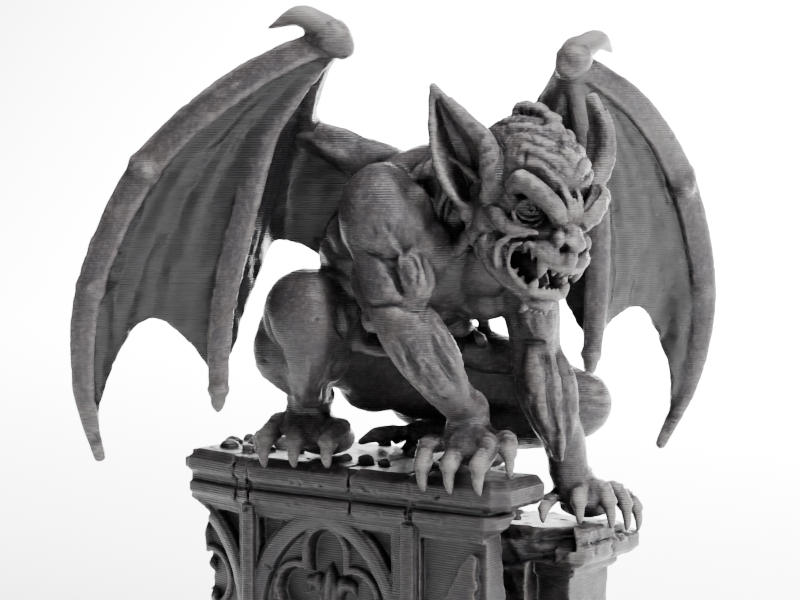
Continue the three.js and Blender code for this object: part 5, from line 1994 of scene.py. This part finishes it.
    def stones(self) -> None:
        """Broken stones that lie on the slab and at the foot of the ledge."""
        heap = [
            (-28.6, -7.6, 1.6), (-25.4, -4.6, 2.1), (-22.0, -6.2, 1.8), (-22.6, -1.8, 2.2), (-27.2, 0.4, 2.4),
            (-31.0, -3.4, 1.6), (-26.0, 5.0, 2.2), (-20.2, 4.0, 2.2), (-29.6, 4.2, 1.5), (-18.0, 7.4, 1.7),
            (-31.6, 1.2, 1.2), (-24.0, -8.6, 1.3), (-15.4, -6.4, 1.5), (-5.0, -8.4, 1.4), (-1.0, -8.0, 1.6),
            (3.0, -8.6, 1.3), (-4.0, 7.6, 1.7), (5.6, 7.0, 1.6), (1.0, 3.0, 1.6), (-9.0, 8.2, 1.3),
            (9.4, -5.6, 1.2), (7.4, 2.0, 1.4)
        ]
        for x, y, size in heap:
            self.stone((x, y, SLAB_TOP - 0.1), size * 0.92)
        for x, y, size in (
            (31.4, 3.4, 1.6), (32.6, 7.0, 1.8), (31.2, 11.0, 2.0), (28.4, -3.0, 1.5), (32.0, 14.0, 1.4),
            (30.4, 8.6, 2.0)
        ):
            self.stone((x - 0.6, y, 6.4 + 0.6 * size), size * 1.2)
            self.stone((x - 1.6, y + 1.4, 8.4 + 0.6 * size), size)

    def stone(self, at: Point, size: float) -> None:
        """One rough stone: a ball cut by random planes."""
        part, (x, y, z) = self.clay.window(np.asarray(at) - size * 1.3, np.asarray(at) + size * 1.3, 0.8)
        if min(x.size, y.size, z.size) == 0:
            return
        x, y, z = x - at[0], y - at[1], z - at[2]
        distance = np.sqrt(x * x + y * y + z * z * 1.7) - size * 1.15
        for _ in range(9):
            way = self.rng.normal(size=3)
            way /= np.linalg.norm(way)
            plane = x * way[0] + y * way[1] + z * way[2] - size * self.rng.uniform(0.62, 0.95)
            distance = smooth_max(distance, plane, 0.2)
        self.clay.press(part, distance + 0.07 * self.lumps(part, 0.9), 0.25, False, None)

    def sculpt(self) -> Clay:
        """Builds the wall and then ruins it."""
        self.core()
        self.slab()
        self.fallen()
        self.ledge()
        self.front_face()
        self.left_end()
        self.worn_edges()
        self.stones()
        self.cracks()
        self.trim()
        return self.clay

    def trim(self) -> None:
        """Cuts the wall off flat at its underside and keeps it within the CAD solid's box."""
        part, (x, y, z) = self.clay.window(WALL_LOW - 2, WALL_HIGH + 2, 0)
        room = 0.15
        box = np.maximum(
            np.maximum(WALL_LOW[0] + room - x, x - WALL_HIGH[0] + room),
            np.maximum(WALL_LOW[1] + room - y, y - WALL_HIGH[1] + room)
        )
        box = np.maximum(box, np.maximum(-z, z - WALL_HIGH[2] + room))
        self.clay.field_mm[part] = smooth_max(self.clay.field_mm[part], box, 0.2)

    @staticmethod
    def relief(points: np.ndarray, kinds: np.ndarray) -> np.ndarray:
        """Dressed stone: slightly uneven, and much rougher where it is broken.

        Args:
            points: Points of the skin, in the wall's frame.
            kinds: Their surface kinds.

        Returns:
            How far each point moves outwards, in mm.
        """
        calm = 0.035 * gradient_noise(points, 2.2, 31) + 0.02 * gradient_noise(points, 0.9, 32)
        broken = 0.16 * gradient_noise(points, 1.5, 33) + 0.08 * gradient_noise(points, 0.7, 34)
        foot = np.clip(points[:, 2] / 0.6, 0, 1)
        return np.where(kinds == Surface.BROKEN.value, broken, calm) * foot


# ---- finishes -----------------------------------------------------------------------------


def linear(colour: str) -> tuple[float, float, float, float]:
    """Turns an sRGB hex colour into linear red, green, blue and alpha."""
    parts = [int(colour[i : i + 2], 16) / 255 for i in (1, 3, 5)]
    made = [part / 12.92 if part <= 0.04045 else ((part + 0.055) / 1.055) ** 2.4 for part in parts]
    return (*made, 1.0)


def add_node(
    tree: bpy.types.NodeTree, kind: str, settings: dict | None = None, links: dict | None = None
) -> bpy.types.Node:
    """Adds a shader node.

    Args:
        tree: The material's node tree.
        kind: The node's type name.
        settings: Attributes of the node, or values of its inputs.
        links: Output sockets to join to its inputs.

    Returns:
        The node.
    """
    node = tree.nodes.new(kind)
    for name, value in (settings or {}).items():
        if isinstance(name, str) and hasattr(node, name):
            setattr(node, name, value)
        else:
            node.inputs[name].default_value = value
    for name, socket in (links or {}).items():
        tree.links.new(socket, node.inputs[name])
    return node


@dataclass(frozen=True)
class PrintedPlastic:
    """Grey PLA laid down in thin layers: a satin, faintly waxy plastic with a fine level ridge for every
    layer. Its colour is painted paler on what stands out and on claws and teeth, as painted highlights,
    and darker in creases and hollows and on wing webs and eyeballs, as painted shade."""

    name: str
    body: str = "#363337"
    # raised: the pale colour for painted highlights and painted glints.
    raised: str = "#969190"
    # deep: the dark colour for painted shade and dark specks.
    deep: str = "#0d0c0f"
    warm: str = "#433d3d"
    roughness: float = 0.38
    layer_mm: float = 0.36
    layer_depth_mm: float = 0.05

    def material(self) -> bpy.types.Material:
        """Builds the node material."""
        made = bpy.data.materials.new(self.name)
        made.use_nodes = True
        tree = made.node_tree
        tree.nodes.clear()
        place = add_node(tree, "ShaderNodeTexCoord").outputs["Object"]
        colour, rough = self.colours(tree, place)
        normal = self.layers(tree, place)
        shader = add_node(
            tree,
            "ShaderNodeBsdfPrincipled",
            {"Metallic": 0.0, "IOR": 1.46, "Specular IOR Level": 0.35},
            {"Base Color": colour, "Roughness": rough, "Normal": normal},
        )
        add_node(tree, "ShaderNodeOutputMaterial", links={"Surface": shader.outputs["BSDF"]})
        return made

    def colours(self, tree: bpy.types.NodeTree, place: bpy.types.NodeSocket) -> tuple:
        """The colour and roughness: soft mottling, with painted highlights and painted shade from the stored
        masks.

        Args:
            tree: The material's nodes.
            place: The object's own coordinates.

        Returns:
            The colour's and the roughness's sockets.
        """
        edge = add_node(tree, "ShaderNodeAttribute", {"attribute_name": "edge"}).outputs["Fac"]
        hollow = add_node(tree, "ShaderNodeAttribute", {"attribute_name": "hollow"}).outputs["Fac"]
        smooth_highlight_mask = add_node(tree, "ShaderNodeAttribute", {"attribute_name": "smooth"}).outputs["Fac"]
        web = add_node(tree, "ShaderNodeAttribute", {"attribute_name": "web"}).outputs["Fac"]
        # Mottling about 4 mm across, and streaks that follow the layers.
        mottle = add_node(
            tree, "ShaderNodeTexNoise", {"Scale": 240.0, "Detail": 4.0, "Roughness": 0.6}, {"Vector": place}
        )
        flat = add_node(tree, "ShaderNodeMapping", {"Scale": (700.0, 700.0, 3300.0)}, {"Vector": place})
        streak = add_node(
            tree, "ShaderNodeTexNoise", {"Scale": 1.0, "Detail": 2.0}, {"Vector": flat.outputs["Vector"]}
        )
        tint = add_node(
            tree, "ShaderNodeMix", {"data_type": "RGBA", 6: linear(self.body), 7: linear(self.warm)}
        )
        warmth = add_node(
            tree, "ShaderNodeMapRange", {"From Min": 0.42, "From Max": 0.66}, {"Value": mottle.outputs["Fac"]}
        )
        tree.links.new(warmth.outputs["Result"], tint.inputs["Factor"])
        base = tint.outputs[2]
        # Fine pale and dark specks, about half a millimetre across; the pale ones are painted glints.
        speck = add_node(
            tree, "ShaderNodeTexNoise", {"Scale": 1500.0, "Detail": 3.0, "Roughness": 0.65}, {"Vector": place}
        )
        light = add_node(
            tree, "ShaderNodeMapRange", {"From Min": 0.5, "From Max": 0.7, "To Max": 0.16},
            {"Value": speck.outputs["Fac"]}
        )
        shade = add_node(
            tree, "ShaderNodeMapRange", {"From Min": 0.5, "From Max": 0.3, "To Max": 0.25},
            {"Value": speck.outputs["Fac"]}
        )
        base = self.mix(tree, base, linear(self.raised), light.outputs["Result"])
        base = self.mix(tree, base, linear(self.deep), shade.outputs["Result"])
        # Raised edges are painted paler, as a painted highlight; streaks break it up.
        edge_highlight = add_node(
            tree, "ShaderNodeMapRange", {"From Min": 0.2, "From Max": 0.95, "To Max": 0.9}, {"Value": edge}
        )
        broken = add_node(
            tree, "ShaderNodeMapRange", {"From Min": 0.35, "From Max": 0.62, "To Min": 0.35},
            {"Value": streak.outputs["Fac"]}
        )
        edge_highlight_share = add_node(
            tree, "ShaderNodeMath", {"operation": "MULTIPLY"},
            {0: edge_highlight.outputs["Result"], 1: broken.outputs["Result"]}
        )
        pale = self.mix(tree, base, linear(self.raised), edge_highlight_share.outputs["Value"])
        # Claws and teeth are smoother, and are painted paler as a painted highlight.
        claw = add_node(tree, "ShaderNodeMath", {"operation": "MULTIPLY", 1: 0.4}, {0: smooth_highlight_mask})
        pale = self.mix(tree, pale, linear(self.raised), claw.outputs["Value"])
        # Creases are painted darker, as painted shade.
        crease_shade = add_node(
            tree, "ShaderNodeMapRange", {"From Min": -0.03, "From Max": -0.5, "To Max": 0.95}, {"Value": edge}
        )
        dark = self.mix(tree, pale, linear(self.deep), crease_shade.outputs["Result"])
        # Hollows are painted darker, as painted shade.
        sunk = add_node(
            tree, "ShaderNodeMapRange", {"From Min": 0.0, "From Max": 0.5, "To Max": 0.85}, {"Value": hollow}
        )
        dark = self.mix(tree, dark, linear(self.deep), sunk.outputs["Result"])
        # Wing webs and eyeballs are painted nearly black, as painted shade.
        skin = add_node(tree, "ShaderNodeMath", {"operation": "MULTIPLY", 1: 0.95}, {0: web})
        dark = self.mix(tree, dark, linear(self.deep), skin.outputs["Value"])
        gloss = add_node(
            tree, "ShaderNodeMapRange",
            {
                "From Min": 0.3, "From Max": 0.7, "To Min": self.roughness - 0.07,
                "To Max": self.roughness + 0.12
            },
            {"Value": streak.outputs["Fac"]}
        )
        return dark, gloss.outputs["Result"]

    @staticmethod
    def mix(
        tree: bpy.types.NodeTree, a: bpy.types.NodeSocket, b: tuple, share: bpy.types.NodeSocket
    ) -> bpy.types.NodeSocket:
        """Mixes a colour towards a fixed one.

        Args:
            tree: The material's nodes.
            a: The colour to start from.
            b: The fixed colour.
            share: How much of b.

        Returns:
            The mixed colour.
        """
        node = add_node(tree, "ShaderNodeMix", {"data_type": "RGBA"})
        node.inputs[7].default_value = b
        tree.links.new(a, node.inputs[6])
        tree.links.new(share, node.inputs[0])
        return node.outputs[2]

    def layers(self, tree: bpy.types.NodeTree, place: bpy.types.NodeSocket) -> bpy.types.NodeSocket:
        """Level ridges, one for each layer laid down, with a little grain.

        Args:
            tree: The material's nodes.
            place: The object's own coordinates.

        Returns:
            The normal's socket.
        """
        parts = add_node(tree, "ShaderNodeSeparateXYZ", links={"Vector": place})
        wander = add_node(tree, "ShaderNodeTexNoise", {"Scale": 500.0, "Detail": 1.0}, {"Vector": place})
        shift = add_node(
            tree, "ShaderNodeMath", {"operation": "MULTIPLY", 1: 1.2}, {0: wander.outputs["Fac"]}
        )
        turns = add_node(
            tree, "ShaderNodeMath", {"operation": "MULTIPLY_ADD", 1: 2 * math.pi / (self.layer_mm * MM)},
            {0: parts.outputs["Z"], 2: shift.outputs["Value"]}
        )
        wave = add_node(tree, "ShaderNodeMath", {"operation": "SINE"}, {0: turns.outputs["Value"]})
        grain = add_node(
            tree, "ShaderNodeTexNoise", {"Scale": 2600.0, "Detail": 3.0, "Roughness": 0.7}, {"Vector": place}
        )
        height = add_node(
            tree, "ShaderNodeMath", {"operation": "MULTIPLY_ADD", 1: 0.5},
            {0: wave.outputs["Value"], 2: grain.outputs["Fac"]}
        )
        bump = add_node(
            tree, "ShaderNodeBump", {"Strength": 0.8, "Distance": self.layer_depth_mm * MM},
            {"Height": height.outputs["Value"]}
        )
        return bump.outputs["Normal"]


# ---- studio -------------------------------------------------------------------------------


@dataclass
class Studio:
    """A pale sweep of floor, soft lamps and a camera that looks down slightly over the corner."""

    focal_px: float = 2120.0
    azimuth: float = 35.0
    pitch: float = 4.276
    sensor_mm: float = 36.0
    width_px: float = 800.0

    def floor(self) -> None:
        """A floor that curves up into a backdrop, as one sheet."""
        rows = [(-2.4, 0.0), (0.9, 0.0)]
        for i in range(1, 13):
            angle = math.radians(90 * i / 12)
            rows.append((0.9 + 0.6 * math.sin(angle), 0.6 - 0.6 * math.cos(angle)))
        rows.append((1.5, 3.0))
        turn = Matrix.Rotation(math.radians(self.azimuth), 4, "Z")
        points = [turn @ Vector((x, y, z)) for x in (-3, 3) for y, z in rows]
        count = len(rows)
        faces = [(i, i + count, i + count + 1, i + 1) for i in range(count - 1)]
        mesh = bpy.data.meshes.new("floor")
        mesh.from_pydata([tuple(p) for p in points], [], faces)
        mesh.shade_smooth()
        material = bpy.data.materials.new("paper_white")
        material.use_nodes = True
        shader = material.node_tree.nodes["Principled BSDF"]
        shader.inputs["Base Color"].default_value = linear("#f4f4f4")
        shader.inputs["Roughness"].default_value = 0.9
        mesh.materials.append(material)
        sheet = bpy.data.objects.new("floor", mesh)
        bpy.context.scene.collection.objects.link(sheet)
        sheet.visible_diffuse = False

    def lamp(
        self, name: str, at: Point, power: float, size: float, aim: Point = (0, 0, 0.07)
    ) -> bpy.types.Object:
        """A soft square lamp that looks at the figurine, placed in the camera's own bearings.

        Args:
            name: What it is called.
            at: Where it is: right, away from the camera and up, in metres.
            power: Its watts.
            size: Its side in metres.
            aim: The point it looks at.

        Returns:
            The lamp.
        """
        data = bpy.data.lights.new(name, "AREA")
        data.energy = power
        data.size = size
        lamp = bpy.data.objects.new(name, data)
        turn = Matrix.Rotation(math.radians(self.azimuth), 3, "Z")
        lamp.location = turn @ Vector(at)
        way = Vector(aim) - lamp.location
        lamp.rotation_euler = way.to_track_quat("-Z", "Y").to_euler()
        bpy.context.scene.collection.objects.link(lamp)
        return lamp

    def lights(self) -> None:
        """A key from the upper right, soft fills, a lamp for the backdrop alone and a dim surround."""
        self.lamp("top", (0.1, -0.15, 0.75), 7.0, 0.3)
        self.lamp("right", (0.5, -0.5, 0.45), 12.0, 0.22)
        self.lamp("left", (-0.6, -0.45, 0.4), 0.8, 0.4)
        sweep = self.lamp("sweep", (0.0, 0.6, 1.5), 320.0, 0.8, (0, 1.2, 0.1))
        sweep.data.spread = math.radians(80)
        only_floor = bpy.data.collections.new("lit_by_sweep")
        only_floor.objects.link(bpy.data.objects["floor"])
        sweep.light_linking.receiver_collection = only_floor
        world = bpy.data.worlds.new("surround")
        world.use_nodes = True
        world.node_tree.nodes["Background"].inputs["Color"].default_value = (1, 1, 1, 1)
        world.node_tree.nodes["Background"].inputs["Strength"].default_value = 0.15
        bpy.context.scene.world = world

    def camera(self) -> None:
        """A long lens, 300 mm from the corner of the slab, slightly above the shoulders."""
        bearing, pitch = math.radians(self.azimuth), math.radians(self.pitch)
        right = Vector((math.cos(bearing), math.sin(bearing), 0))
        ahead = Vector((-math.sin(bearing), math.cos(bearing), 0))
        corner = Vector((WALL_HIGH[0] - 6.0, FRONT, SLAB_TOP))
        data = bpy.data.cameras.new("camera")
        data.sensor_width = self.sensor_mm
        data.lens = self.focal_px / self.width_px * self.sensor_mm
        data.clip_start = 0.01
        camera = bpy.data.objects.new("camera", data)
        camera.location = (corner - 15 * right - 300 * ahead + Vector((0, 0, 49))) * MM
        look = math.cos(pitch) * ahead - math.sin(pitch) * Vector((0, 0, 1))
        camera.rotation_euler = look.to_track_quat("-Z", "Y").to_euler()
        bpy.context.scene.collection.objects.link(camera)
        bpy.context.scene.camera = camera


def main() -> None:
    """Builds the beast, the wall and the studio, and notes the sizes."""
    logging.basicConfig(level=logging.INFO, format="%(name)s %(message)s")
    studio = Studio()
    studio.camera()
    studio.floor()
    studio.lights()
    beast = Beast()
    world = Matrix.LocRotScale(
        Vector(SHOULDERS) * MM, None, None
    ) @ Matrix.Rotation(math.radians(-35), 4, "Z")
    Piece("gargoyle_body", "gargoyle", "gargoyle_grey", beast.sculpt(), world, 195000, BEAST_HEAD).build(
        Beast.relief, PrintedPlastic("gargoyle_pla").material()
    )
    wall = Wall()
    Piece("ruined_wall_stone", "ruined_wall", "wall_grey", wall.sculpt(), Matrix.Identity(4), 150000).build(
        Wall.relief, PrintedPlastic("wall_pla", body="#252327", raised="#5c5857", warm="#2a2627").material()
    )
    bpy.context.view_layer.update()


if __name__ == "__main__":
    main()
